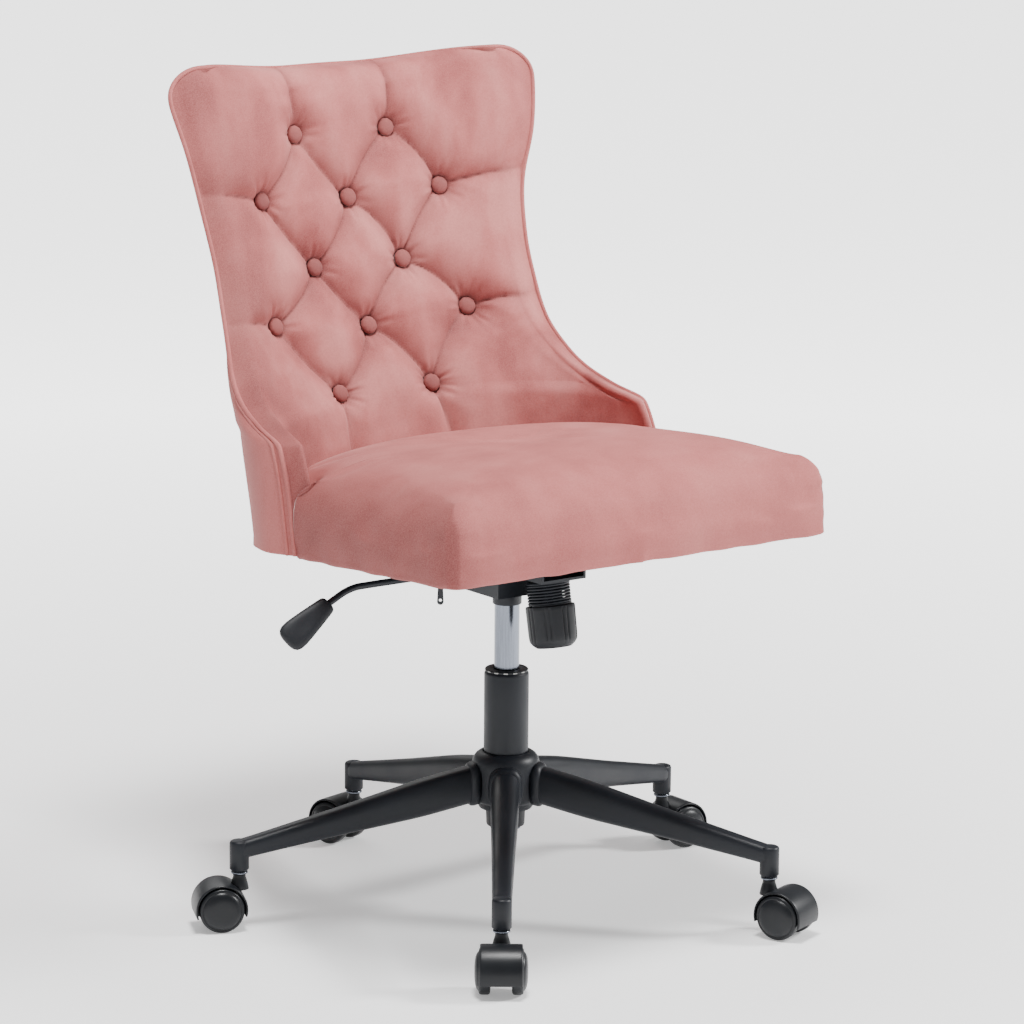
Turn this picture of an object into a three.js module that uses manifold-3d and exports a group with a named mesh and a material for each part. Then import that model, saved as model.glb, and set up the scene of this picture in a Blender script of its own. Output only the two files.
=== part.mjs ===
// Swivel chair with a button-tufted wing back, a crowned seat, a tilt mechanism, a gas lift
// and a five-arm base on twin-wheel casters. Millimetres, +Z up, the sitter faces -Y and
// +X is the sitter's left. It is built around the column axis and centred at the end.
import * as THREE from 'three';
import { mergeVertices } from 'three/addons/utils/BufferGeometryUtils.js';
import Module from 'manifold-3d';

const wasm = await Module();
wasm.setup();
const rad = THREE.MathUtils.degToRad;

// ---- driving dimensions ----
const GAP = 0.35; // clearance between neighbouring pieces

// upholstered seat
const SEAT_PITCH = 3.6; // degrees, front edge up
const SEAT_Z = 427.5; // underside of the seat on the column axis
const SEAT_HALF_WIDTH = 253;
const SEAT_FRONT = -249;
const SEAT_SIDE_END = 32; // where the seat's sides reach the arms
const SEAT_EDGE_HEIGHT = 82;
const SEAT_CROWN = 106;
const SEAT_CORNER = 9;
const DUST_COVER_THICKNESS = 1.4;
const BOARD_THICKNESS = 12;

// upholstered back: height, half width and depth of the outer front edge
const RIM = [
  [405, 254, 36], [538, 249, 78], [550, 242, 126], [567, 234, 173], [591, 226, 205],
  [619, 218, 226], [664, 214, 245], [709, 213, 260], [770, 220, 276], [833, 236, 280],
  [890, 248, 296], [926, 248, 307],
];
// height, depth of the front face and of the rear face on the centre line
const SPINE = [
  [405, 184, 238], [500, 208, 270], [559, 228, 294], [635, 263, 325], [770, 302, 362],
  [850, 322, 384], [926, 341, 403],
];
// height and half sweep of the plan curve in degrees: a horseshoe below, a shallow arc above
const SWEEP = [[405, 102], [538, 100], [567, 90], [619, 77], [709, 64], [926, 58]];
// height and turn of the edge face in degrees: outwards at the arms, forwards at the wings
const EDGE_TURN = [[405, 45], [538, 45], [619, 18], [709, 4], [926, 0]];
const EDGE_THICKNESS = 26;
const BACK_TOP = 926;
const EAR_RADIUS = 40;
const TOP_ROUND = 28;
const COVER_SHARE = 0.14; // part of the back's thickness, counted from the rear
const FRAME_SHARE = [0.17, 0.43];
const PAD_SHARE = 0.46;

// tuft buttons: half spacing and height of each row, 0 for a button on the centre line
const BUTTON_ROWS = [[62, 841], [121, 772], [0, 767], [60, 694], [130, 637], [0, 626], [62, 559]];
const BUTTON_RADIUS = 9.2;
const BUTTON_THICKNESS = 7;
const TUFT_DEPTH = 15;
const TUFT_MOUTH = 21;

// mechanism
const AXLE_Y = -35;
const AXLE_Z = 398;
const AXLE_RADIUS = 5;
const BOLT_LEAN = 10.5; // degrees
const BOLT_TOP = [0, -74, 389]; // top of the tension spring
const SPRING_LENGTH = 28;
const SPRING_RADIUS = 24.2;
const SPRING_WIRE = 1.8;
const SPRING_TURNS = 6.5;
const KNOB_RADIUS = 27.5;
const KNOB_HEIGHT = 46.5;
const LEVER_Z = 392;
const LEVER_PIVOT_X = -22;
const LEVER_RADIUS = 3.75;
const GRIP_START = [-239, 378]; // sideways place and height of the grip's upper end
const GRIP_TIP = [-294, 342];
const GRIP_ROLL = 31; // degrees
const BUTTON_PIN_TOP = LEVER_Z - LEVER_RADIUS - GAP;

// gas lift and column
const CYLINDER_RADIUS = 14;
const CYLINDER_BOTTOM = 175;
const CYLINDER_TOP = 383;
const TUBE_RADIUS = 25;
const TUBE_TOP = 271;
const TUBE_BOTTOM = 94;
const TUBE_FOOT_RADIUS = 21.5;
const ROD_RADIUS = 5;

// five-arm base
const HUB_TOP = 179.5;
const HUB_BOTTOM = 115;
const HUB_RADIUS = 38;
const ARM_COUNT = 5;
const FIRST_ARM = 17.07; // degrees
const ARM_ROOT = [34, 145]; // distance from the axis and height
const ARM_TIP = [304, 89];
const ARM_ROOT_SIZE = [31, 42];
const ARM_TIP_SIZE = 21;
const SOCKET_DISTANCE = 306.6;
const SOCKET_RADIUS = 10.8;
const SOCKET_BOTTOM = 66;
const SOCKET_TOP = 99;

// casters
const TRAIL_TURNS = [-1.4, 106.6, 155, 233.6, 291.6]; // degrees, one for each arm
const TRAIL = 22;
const WHEEL_RADIUS = 25;
const WHEEL_SIDES = 16;
const WHEEL_INNER = 11.3;
const TREAD_OUTER = 23.5;
const WHEEL_OUTER = 28.5;
const HOOD_RADIUS = 29;
const HOOD_INNER = 26.7;
const HOOD_WIDTH = 35.5;
const HOOD_DROP = 16; // degrees below the axle at both ends
const NECK_RADIUS = 7;
const NECK_TOP = 61.5;
const STEM_TOP = 92;

// ---- materials ----
const finish = (color, roughness, metalness) => new THREE.MeshStandardMaterial({ color, roughness, metalness });
const VELVET = finish(0xc48985, 0.9, 0);
const VELVET_BUTTON = finish(0xa86a68, 0.85, 0);
const BLACK_METAL = finish(0x1b1d20, 0.42, 0.6);
const BLACK_PLASTIC = finish(0x18191b, 0.5, 0);
const BRIGHT_STEEL = finish(0xb9bcc0, 0.22, 1);
const PLYWOOD = finish(0xb08a5b, 0.8, 0);
const LINING = finish(0x1a1a1a, 0.95, 0);
const GUIDE_PLASTIC = finish(0xd8d8d4, 0.5, 0);

// ---- helpers ----
const vec = (x, y, z) => new THREE.Vector3(x, y, z);
const lerp = THREE.MathUtils.lerp;

// value of the given column at a height, eased through the table's points
function at(table, height, column = 1) {
  const last = table.length - 1;
  let i = table.findIndex((row) => row[0] > height) - 1;
  if (i < 0) i = height <= table[0][0] ? 0 : last - 1;
  const slope = (k) => {
    const a = table[Math.max(k - 1, 0)];
    const b = table[Math.min(k + 1, last)];
    return (b[column] - a[column]) / (b[0] - a[0]);
  };
  const step = table[i + 1][0] - table[i][0];
  const u = (height - table[i][0]) / step;
  const rise = table[i + 1][column] - table[i][column];
  const start = slope(i) * step;
  const end = slope(i + 1) * step;
  return table[i][column] + u * (start + u * (3 * rise - 2 * start - end + u * (start + end - 2 * rise)));
}

// closed body with outward faces from points and triangles
function bodyFrom(points, triangles) {
  let volume = 0;
  for (const [a, b, c] of triangles) volume += points[a].dot(points[b].clone().cross(points[c]));
  const faces = volume < 0 ? triangles.map(([a, b, c]) => [a, c, b]) : triangles;
  const geometry = new THREE.BufferGeometry();
  const numbers = points.flatMap((p) => [p.x, p.y, p.z]);
  geometry.setAttribute('position', new THREE.Float32BufferAttribute(numbers, 3));
  geometry.setIndex(faces.flat());
  return geometry;
}

// closed body through a row of equal rings, capped by fans
function loft(rings) {
  const count = rings[0].length;
  const points = rings.flat();
  const triangles = [];
  for (let r = 0; r + 1 < rings.length; r += 1) {
    for (let k = 0; k < count; k += 1) {
      const a = r * count + k;
      const b = r * count + (k + 1) % count;
      triangles.push([a, b, b + count], [a, b + count, a + count]);
    }
  }
  for (const [ring, start, turned] of [[rings[0], 0, true], [rings.at(-1), points.length - count, false]]) {
    const middle = points.length;
    points.push(ring.reduce((sum, p) => sum.add(p), vec(0, 0, 0)).divideScalar(count));
    for (let k = 0; k < count; k += 1) {
      const a = start + k;
      const b = start + (k + 1) % count;
      triangles.push(turned ? [b, a, middle] : [a, b, middle]);
    }
  }
  return bodyFrom(points, triangles);
}

// closed body between two equal grids of points
function slab(front, back) {
  const rows = front.length;
  const columns = front[0].length;
  const points = [...front.flat(), ...back.flat()];
  const id = (side, r, c) => side * rows * columns + r * columns + c;
  const triangles = [];
  const quad = (a, b, c, d) => triangles.push([a, b, c], [a, c, d]);
  for (let r = 0; r + 1 < rows; r += 1) {
    for (let c = 0; c + 1 < columns; c += 1) {
      quad(id(0, r, c), id(0, r, c + 1), id(0, r + 1, c + 1), id(0, r + 1, c));
      quad(id(1, r, c), id(1, r + 1, c), id(1, r + 1, c + 1), id(1, r, c + 1));
    }
    const e = columns - 1;
    quad(id(0, r, 0), id(0, r + 1, 0), id(1, r + 1, 0), id(1, r, 0));
    quad(id(0, r, e), id(1, r, e), id(1, r + 1, e), id(0, r + 1, e));
  }
  for (let c = 0; c + 1 < columns; c += 1) {
    const e = rows - 1;
    quad(id(0, 0, c), id(1, 0, c), id(1, 0, c + 1), id(0, 0, c + 1));
    quad(id(0, e, c), id(0, e, c + 1), id(1, e, c + 1), id(1, e, c));
  }
  return bodyFrom(points, triangles);
}

// body turned about +Z from radius and height pairs
function turned(profile, segments = 20, phase = 0) {
  const outline = profile.map(([r, z]) => new THREE.Vector2(r, z));
  return new THREE.LatheGeometry(outline, segments, phase).rotateX(Math.PI / 2);
}

// upright round bar between two heights
const bar = (radius, low, high, segments = 20) =>
  turned([[0, low], [radius, low], [radius, high], [0, high]], segments);

// plain block from its lowest and highest corners
function block(low, high) {
  const size = high.map((value, i) => value - low[i]);
  const middle = high.map((value, i) => (value + low[i]) / 2);
  return new THREE.BoxGeometry(...size).translate(...middle);
}

// outline in X and Y, or turned upright into X and Z, given a thickness
function plate(outline, thickness, holes = []) {
  const shape = outline instanceof THREE.Shape ? outline : new THREE.Shape(outline);
  shape.holes.push(...holes);
  return new THREE.ExtrudeGeometry(shape, { depth: thickness, bevelEnabled: false, curveSegments: 5 });
}

function toManifold(geometry) {
  const bare = geometry.clone();
  bare.deleteAttribute('normal');
  bare.deleteAttribute('uv');
  const welded = mergeVertices(bare, 1e-4);
  const index = welded.index.array;
  const triangles = [];
  for (let i = 0; i < index.length; i += 3) {
    const [a, b, c] = [index[i], index[i + 1], index[i + 2]];
    if (a !== b && b !== c && c !== a) triangles.push(a, b, c);
  }
  return new wasm.Manifold(new wasm.Mesh({
    numProp: 3,
    vertProperties: new Float32Array(welded.attributes.position.array),
    triVerts: new Uint32Array(triangles),
  }));
}

// one body from a first piece, the pieces joined to it and the pieces cut from it
function joined(first, added, removed = []) {
  let result = toManifold(first);
  for (const piece of added) result = result.add(toManifold(piece));
  for (const piece of removed) result = result.subtract(toManifold(piece));
  const mesh = result.getMesh();
  const geometry = new THREE.BufferGeometry();
  geometry.setAttribute('position', new THREE.Float32BufferAttribute(mesh.vertProperties, 3));
  geometry.setIndex([...mesh.triVerts]);
  return geometry;
}

function named(name, geometry, material) {
  const mesh = new THREE.Mesh(geometry, material);
  mesh.name = name;
  return mesh;
}

function place(parts, position, turnX = 0, turnZ = 0) {
  const holder = new THREE.Group();
  holder.position.set(...position);
  holder.rotation.set(rad(turnX), 0, rad(turnZ));
  holder.add(...parts);
  return holder;
}

// ---- the back ----
// half width of the ear narrows like a quarter circle under the top edge
function earNarrowing(z) {
  const into = Math.max(z - (BACK_TOP - EAR_RADIUS), 0);
  return EAR_RADIUS - Math.sqrt(Math.max(EAR_RADIUS ** 2 - into ** 2, 0));
}

// depth share left of the back's thickness as its top edge rounds over
function topRounding(z) {
  const into = Math.max(z - (BACK_TOP - TOP_ROUND), 0) / (TOP_ROUND + 2);
  return Math.sqrt(1 - into ** 2);
}

// plan curve from the centre, t = 0, to an end, t = -1 or 1
function planCurve(halfWidth, endDepth, middleDepth, sweep, t) {
  const x = halfWidth * Math.sin(t * sweep) / Math.sin(sweep);
  const y = middleDepth - (middleDepth - endDepth) * (1 - Math.cos(t * sweep)) / (1 - Math.cos(sweep));
  return [x, y];
}

// point of the back at height z: t across, share 0 on the rear face and 1 on the front face
function backPoint(t, z, share) {
  const sweep = rad(at(SWEEP, z));
  const width = at(RIM, z) - earNarrowing(z);
  const depth = at(RIM, z, 2);
  const turn = rad(at(EDGE_TURN, z));
  const rear = planCurve(width, depth, at(SPINE, z, 2), sweep, t);
  const frontWidth = width - EDGE_THICKNESS * Math.cos(turn);
  const frontDepth = depth - EDGE_THICKNESS * Math.sin(turn);
  const front = planCurve(frontWidth, frontDepth, at(SPINE, z), sweep, t);
  const eased = 0.5 + (share - 0.5) * topRounding(z);
  return vec(lerp(rear[0], front[0], eased), lerp(rear[1], front[1], eased), z);
}

const undersideAt = (y) => SEAT_Z - y * Math.tan(rad(SEAT_PITCH));

const LEVELS = [405, 470, 525, 538, 544, 553, 567, 591, 619, 664, 709, 770, 833, 875, 898, 912, 921, 926];
const BACK_COLUMNS = 15;

// one layer of the back between two shares of its thickness, cut level with the seat's underside;
// trim leaves out that many columns at each edge
function backLayer(shares, levels, trim = 0) {
  const grid = (share) => levels.map((z, row) => {
    const points = [];
    for (let c = trim; c < BACK_COLUMNS - trim; c += 1) {
      const point = backPoint(lerp(-1, 1, c / (BACK_COLUMNS - 1)), z, share);
      if (row === 0) point.z = undersideAt(point.y);
      points.push(point);
    }
    return points;
  });
  return slab(grid(shares[1]), grid(shares[0]));
}

// place of a button: its centre on the front face and the direction it faces
function tuftPlace(x, z) {
  const sweep = rad(at(SWEEP, z));
  const width = at(RIM, z) - EDGE_THICKNESS * Math.cos(rad(at(EDGE_TURN, z)));
  const t = Math.asin(x * Math.sin(sweep) / width) / sweep;
  const centre = backPoint(t, z, 1);
  const across = backPoint(t + 0.02, z, 1).sub(backPoint(t - 0.02, z, 1));
  const up = backPoint(t, z + 4, 1).sub(backPoint(t, z - 4, 1));
  return { centre, facing: across.cross(up).normalize() };
}

function tuftPlaces() {
  const places = [];
  for (const [x, z] of BUTTON_ROWS) {
    const sides = x > 0 ? [-x, x] : [0];
    for (const side of sides) places.push(tuftPlace(side, z));
  }
  return places;
}

// moves a piece made along +Z to a tuft, its origin at the bottom of the pit
function seatInTuft(geometry, { centre, facing }) {
  const turn = new THREE.Quaternion().setFromUnitVectors(vec(0, 0, 1), facing);
  const pit = centre.clone().addScaledVector(facing, -TUFT_DEPTH);
  return geometry.applyQuaternion(turn).translate(pit.x, pit.y, pit.z);
}

function buildBack(group) {
  const places = tuftPlaces();
  const pits = places.map((tuft) => {
    const mouth = TUFT_DEPTH + 4;
    const cone = [[0, 0], [BUTTON_RADIUS + GAP, 0], [TUFT_MOUTH + 3, mouth], [0, mouth]];
    return seatInTuft(turned(cone, 8), tuft);
  });
  const pad = backLayer([PAD_SHARE, 1], LEVELS);
  group.add(named('back_cover', backLayer([0, COVER_SHARE], LEVELS), VELVET));
  group.add(named('back_frame', backLayer(FRAME_SHARE, LEVELS.slice(0, -3), 1), PLYWOOD));
  group.add(named('back_pad', joined(pad, [], pits), VELVET));
  places.forEach((tuft, i) => {
    const dome = [
      [0, GAP], [BUTTON_RADIUS - 2, GAP], [BUTTON_RADIUS, 3],
      [BUTTON_RADIUS * 0.7, BUTTON_THICKNESS - 1], [0, BUTTON_THICKNESS],
    ];
    const name = `tuft_button_${String(i + 1).padStart(2, '0')}`;
    group.add(named(name, seatInTuft(turned(dome, 8), tuft), VELVET_BUTTON));
  });
}

// ---- the seat, in its own pitched frame with its underside at zero ----
// outline of the seat, narrower between the arms and round at the rear
function seatOutline(inset) {
  const half = SEAT_HALF_WIDTH - inset;
  const front = SEAT_FRONT + inset;
  const side = [];
  for (let k = 0; k <= 3; k += 1) {
    const turn = rad(90 * k / 3);
    const x = half - SEAT_CORNER * (1 - Math.sin(turn));
    side.push([x, front + SEAT_CORNER * (1 - Math.cos(turn))]);
  }
  side.push([half, -60], [half, SEAT_SIDE_END - inset], [229 - inset, SEAT_SIDE_END - 24 - inset]);
  for (let k = 0; k <= 6; k += 1) {
    side.push(planCurve(227 - inset, 40, 176 - inset, rad(100), 1 - k / 6));
  }
  const mirrored = side.slice(0, -1).reverse().map(([x, y]) => [-x, y]);
  return [...side, ...mirrored];
}

const seatRing = (inset, z) => seatOutline(inset).map(([x, y]) => vec(x, y, z));

function shrunkRing(share, z) {
  return seatOutline(0).map(([x, y]) => vec(x * share, lerp(-30, y, share), z));
}

function seatCushion() {
  const base = DUST_COVER_THICKNESS + BOARD_THICKNESS + 3 * GAP;
  const crown = [[0.96, 0.4], [0.85, 0.6], [0.6, 0.85], [0.3, 0.97]];
  const rings = [seatRing(2, base), seatRing(0, base + 12), seatRing(0, SEAT_EDGE_HEIGHT - 14)];
  rings.push(seatRing(4, SEAT_EDGE_HEIGHT - 4));
  for (const [share, rise] of crown) {
    rings.push(shrunkRing(share, lerp(SEAT_EDGE_HEIGHT, SEAT_CROWN, rise)));
  }
  return loft(rings);
}

function flatSheet(inset, low, thickness) {
  return loft([seatRing(inset, low), seatRing(inset, low + thickness)]);
}

// mechanism's upper plate with two ears that hang on the tilt axle
function tiltPlate() {
  const low = -GAP - 3;
  const axle = vec(0, AXLE_Y, AXLE_Z - SEAT_Z).applyAxisAngle(vec(1, 0, 0), rad(SEAT_PITCH));
  const sheet = block([-95, -115, low], [95, 85, -GAP]);
  const ears = [-1, 1].map((side) => {
    const inner = side * 50;
    const outer = side * 53;
    return block([Math.min(inner, outer), -58, -40], [Math.max(inner, outer), -12, low + 0.5]);
  });
  const pinHole = bar(AXLE_RADIUS + GAP, -70, 70, 12).rotateY(Math.PI / 2).translate(0, axle.y, axle.z);
  const slots = [-72, 72].flatMap((x) => [-90, 62].map((y) => block([x - 9, y - 4, low - 1], [x + 9, y + 4, 1])));
  return joined(sheet, ears, [pinHole, ...slots]);
}

function buildSeat(group) {
  const sheets = DUST_COVER_THICKNESS + GAP;
  const pieces = [
    named('seat_cushion', seatCushion(), VELVET),
    named('seat_board', flatSheet(5, sheets, BOARD_THICKNESS), PLYWOOD),
    named('dust_cover', flatSheet(7, 0, DUST_COVER_THICKNESS), LINING),
    named('tilt_plate', tiltPlate(), BLACK_METAL),
  ];
  group.add(place(pieces, [0, 0, SEAT_Z], -SEAT_PITCH));
  const tab = new THREE.Shape();
  tab.absarc(0, -22, 3.5, Math.PI, 2 * Math.PI);
  tab.lineTo(2.4, 0);
  tab.lineTo(-2.4, 0);
  const eyelet = new THREE.Path();
  eyelet.absarc(0, -20.5, 1.6, 0, 2 * Math.PI, true);
  const pull = plate(tab, 1.5, [eyelet]).rotateX(Math.PI / 2);
  group.add(place([named('zip_pull', pull, BLACK_PLASTIC)], [-228, -192, 437.5], 0, -36));
}

// ---- the tilt mechanism and its controls ----
function mechanismHousing() {
  const walls = [[-46, 409], [5, 409], [44, 398], [44, 366], [-46, 366]];
  const sideOutline = walls.map(([y, z]) => new THREE.Vector2(y, z));
  // the outline's own X and Y become Y and Z
  const upright = (low, high) => plate(sideOutline, high - low)
    .applyMatrix4(new THREE.Matrix4().makeBasis(vec(0, 1, 0), vec(0, 0, 1), vec(1, 0, 0)))
    .translate(low, 0, 0);
  const shell = upright(-46, 46);
  const inside = block([-43, -43, 369], [43, 41, 420]);
  const tongue = block([-30, -104, 391.5], [30, -43, 394.5]);
  const lips = [-30, 27].map((x) => block([x, -104, 391.5], [x + 3, -43, 405]));
  const collar = turned([[0, 348], [15, 348], [15, 359], [17.3, 360], [17.3, 367], [0, 367]], 24);
  const ears = [-14, 11].map((y) => block([-27, y, 368], [-17, y + 3, 397]));
  const cylinderHole = turned([[0, 340], [CYLINDER_RADIUS + GAP, 340], [CYLINDER_RADIUS + GAP, 352],
    [13 + GAP, CYLINDER_TOP], [0, CYLINDER_TOP]], 24);
  const crossHole = (radius, y, z, length) => bar(radius, -length, length, 12)
    .rotateY(Math.PI / 2).translate(0, y, z);
  const trunnionHole = bar(3 + GAP, -20, 20, 12).rotateX(Math.PI / 2)
    .translate(LEVER_PIVOT_X, 0, LEVER_Z);
  const boltSlot = block([-6, -88, 380], [6, -62, 400]);
  const leverSlot = block([-60, -5.5, 386], [-40, 5.5, 400]);
  const hollow = joined(shell, [], [inside]);
  const holes = [cylinderHole, crossHole(AXLE_RADIUS + GAP, AXLE_Y, AXLE_Z, 60), trunnionHole, boltSlot, leverSlot];
  return joined(hollow, [tongue, ...lips, collar, ...ears], holes);
}

function tensionSpring() {
  class Helix extends THREE.Curve {
    getPoint(u) {
      const turn = 2 * Math.PI * SPRING_TURNS * u;
      const travel = SPRING_LENGTH - 2 * SPRING_WIRE;
      return vec(SPRING_RADIUS * Math.cos(turn), SPRING_RADIUS * Math.sin(turn), -SPRING_WIRE - travel * u);
    }
  }
  const wire = new THREE.Shape();
  wire.absarc(0, 0, SPRING_WIRE, 0, 2 * Math.PI);
  const steps = Math.round(SPRING_TURNS * 10);
  return new THREE.ExtrudeGeometry(wire, { steps, curveSegments: 3, extrudePath: new Helix() });
}

function tensionKnob() {
  const low = -SPRING_LENGTH - KNOB_HEIGHT;
  const high = -SPRING_LENGTH - GAP;
  const skirt = [[0, low], [KNOB_RADIUS - 5, low], [KNOB_RADIUS - 0.5, low + 5], [KNOB_RADIUS, high - 12],
    [KNOB_RADIUS, high], [0, high]];
  return joined(turned(skirt, 24), [], [bar(4 + GAP, low + 12, high + 5, 12)]);
}

// flat paddle that hangs off the rod's bent end, wider towards its tip and rolled about its own axis
function leverGrip() {
  const stations = [[0, 9.5, 7], [5, 10.5, 7.5], [26, 13.5, 7], [50, 16.5, 6], [60, 15.5, 5], [65, 11, 3.5]];
  const along = vec(GRIP_TIP[0] - GRIP_START[0], 0, GRIP_TIP[1] - GRIP_START[1]).normalize();
  const below = vec(-along.z, 0, along.x);
  const wide = below.clone().multiplyScalar(Math.cos(rad(GRIP_ROLL)));
  wide.y = -Math.sin(rad(GRIP_ROLL));
  const thin = along.clone().cross(wide);
  return loft(stations.map(([distance, halfWidth, halfDepth]) => Array.from({ length: 12 }, (_, k) => {
    const turn = 2 * Math.PI * k / 12;
    return vec(GRIP_START[0], 0, GRIP_START[1])
      .addScaledVector(along, distance)
      .addScaledVector(wide, halfWidth * Math.cos(turn))
      .addScaledVector(thin, halfDepth * Math.sin(turn));
  })));
}

function leverRod() {
  const path = new THREE.CatmullRomCurve3([
    vec(12, 0, LEVER_Z), vec(-90, 0, LEVER_Z), vec(-194, 0, LEVER_Z), vec(-210, 0, LEVER_Z - 1),
    vec(-223, 0, LEVER_Z - 6), vec(GRIP_START[0] + 3.4, 0, GRIP_START[1] + 2.2),
  ]);
  const round = new THREE.Shape();
  round.absarc(0, 0, LEVER_RADIUS, 0, 2 * Math.PI);
  return new THREE.ExtrudeGeometry(round, { steps: 12, curveSegments: 4, extrudePath: path });
}

function leverPivot() {
  const body = block([-30, -9, 385.5], [-14, 9, 398.5]);
  const trunnion = bar(3, -14, 14, 12).rotateX(Math.PI / 2).translate(LEVER_PIVOT_X, 0, LEVER_Z);
  const through = bar(LEVER_RADIUS + GAP, -40, 10, 12).rotateY(Math.PI / 2).translate(0, 0, LEVER_Z);
  return joined(body, [trunnion], [through]);
}

function buildMechanism(group) {
  const axle = bar(AXLE_RADIUS, -57, 57, 16).rotateY(Math.PI / 2).translate(0, AXLE_Y, AXLE_Z);
  group.add(named('mech_housing', mechanismHousing(), BLACK_METAL));
  group.add(named('tilt_axle', axle, BRIGHT_STEEL));
  group.add(named('lever_pivot', leverPivot(), BLACK_PLASTIC));
  group.add(named('lever_rod', leverRod(), BLACK_METAL));
  group.add(named('lever_grip', leverGrip(), BLACK_PLASTIC));
  const bolt = turned([[0, -61], [4, -61], [4, 31], [8, 31], [8, 36], [0, 36]], 12);
  group.add(place([
    named('tension_spring', tensionSpring(), BLACK_METAL),
    named('tension_bolt', bolt, BRIGHT_STEEL),
    named('tension_knob', tensionKnob(), BLACK_PLASTIC),
  ], BOLT_TOP, -BOLT_LEAN));
}

// ---- the gas lift and its column ----
function buildColumn(group) {
  const wall = 2;
  const inner = TUBE_RADIUS - wall;
  const footInner = TUBE_FOOT_RADIUS - wall;
  const tube = turned([
    [ROD_RADIUS + 0.6, TUBE_BOTTOM], [TUBE_FOOT_RADIUS - 3, TUBE_BOTTOM], [TUBE_FOOT_RADIUS, TUBE_BOTTOM + 3],
    [TUBE_FOOT_RADIUS, HUB_BOTTOM], [TUBE_RADIUS, HUB_TOP + 3], [TUBE_RADIUS, TUBE_TOP], [inner, TUBE_TOP],
    [inner, HUB_TOP + 3], [footInner, HUB_BOTTOM], [footInner, TUBE_BOTTOM + 3],
    [ROD_RADIUS + 0.6, TUBE_BOTTOM + 3], [ROD_RADIUS + 0.6, TUBE_BOTTOM],
  ], 20);
  const bushOuter = inner - GAP;
  const bushInner = CYLINDER_RADIUS + 0.4;
  const bush = turned([
    [bushInner, 212], [bushOuter, 212], [bushOuter, TUBE_TOP + GAP], [TUBE_RADIUS - 1, TUBE_TOP + GAP],
    [TUBE_RADIUS - 2.5, TUBE_TOP + 3], [bushInner, TUBE_TOP + 3], [bushInner, 212],
  ], 20);
  const bearingLow = TUBE_BOTTOM + 3 + GAP;
  const bearing = turned([
    [ROD_RADIUS + 0.6, bearingLow], [12, bearingLow], [12, bearingLow + 6], [ROD_RADIUS + 0.6, bearingLow + 6],
    [ROD_RADIUS + 0.6, bearingLow],
  ], 20);
  const rod = turned([
    [0, TUBE_BOTTOM - 2], [ROD_RADIUS, TUBE_BOTTOM - 2], [ROD_RADIUS, 262], [11.4, 262], [11.4, 276], [0, 276],
  ], 16);
  const cylinder = turned([
    [ROD_RADIUS + 0.5, CYLINDER_BOTTOM], [CYLINDER_RADIUS, CYLINDER_BOTTOM], [CYLINDER_RADIUS, 352],
    [13, CYLINDER_TOP - GAP], [4.5, CYLINDER_TOP - GAP], [4.5, 366], [0, 366], [0, 345], [12, 345],
    [12, CYLINDER_BOTTOM + 6], [ROD_RADIUS + 0.5, CYLINDER_BOTTOM + 6], [ROD_RADIUS + 0.5, CYLINDER_BOTTOM],
  ], 20);
  group.add(named('column_tube', tube, BLACK_METAL));
  group.add(named('column_bush', bush, GUIDE_PLASTIC));
  group.add(named('thrust_bearing', bearing, BRIGHT_STEEL));
  group.add(named('piston_rod', rod, BRIGHT_STEEL));
  group.add(named('gas_cylinder', cylinder, BRIGHT_STEEL));
  group.add(named('release_button', bar(4, 371, BUTTON_PIN_TOP, 12), BRIGHT_STEEL));
}

// ---- the five-arm base ----
function baseHub() {
  const bore = (z) => lerp(TUBE_FOOT_RADIUS, TUBE_RADIUS, (z - HUB_BOTTOM) / (HUB_TOP + 3 - HUB_BOTTOM)) + 0.4;
  return turned([
    [bore(HUB_BOTTOM), HUB_BOTTOM], [29, HUB_BOTTOM], [30.5, HUB_BOTTOM + 3], [30.5, 121], [HUB_RADIUS, 127],
    [HUB_RADIUS, 166], [36, 172], [31, 177], [27.5, HUB_TOP], [bore(HUB_TOP), HUB_TOP],
    [bore(HUB_BOTTOM), HUB_BOTTOM],
  ], 20);
}

// tapered oval tube with an upright socket at its tip, along +X
function baseArm() {
  const [rootX, rootZ] = ARM_ROOT;
  const [tipX, tipZ] = ARM_TIP;
  const stations = [[0, 0], [0.24, 0], [0.6, 0.55], [1, 1]];
  const tube = loft(stations.map(([along, taper]) => {
    const width = lerp(ARM_ROOT_SIZE[0], ARM_TIP_SIZE, taper) / 2;
    const height = lerp(ARM_ROOT_SIZE[1], ARM_TIP_SIZE, taper) / 2;
    return Array.from({ length: 16 }, (_, k) => {
      const turn = 2 * Math.PI * k / 16;
      const x = lerp(rootX, tipX, along);
      return vec(x, width * Math.cos(turn), lerp(rootZ, tipZ, along) + height * Math.sin(turn));
    });
  }));
  const socket = bar(SOCKET_RADIUS, SOCKET_BOTTOM, SOCKET_TOP, 16).translate(SOCKET_DISTANCE, 0, 0);
  const stemHole = bar(5.7, SOCKET_BOTTOM - 5, STEM_TOP + 1, 12).translate(SOCKET_DISTANCE, 0, 0);
  const hubSpace = bar(HUB_RADIUS + GAP, 100, 200, 40);
  return joined(tube, [socket], [stemHole, hubSpace]);
}

function buildBase(group) {
  const arm = baseArm();
  group.add(named('base_hub', baseHub(), BLACK_METAL));
  for (let i = 0; i < ARM_COUNT; i += 1) {
    const mesh = named(`base_arm_${i + 1}`, arm, BLACK_METAL);
    mesh.rotation.z = rad(FIRST_ARM + 360 * i / ARM_COUNT);
    group.add(mesh);
  }
}

// ---- casters: stem axis at the origin, axle behind it along +X ----
// outline in X and Z given a width along Y, centred
const acrossY = (shape, width) => plate(shape, width).rotateX(Math.PI / 2).translate(0, width / 2, 0);

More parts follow.
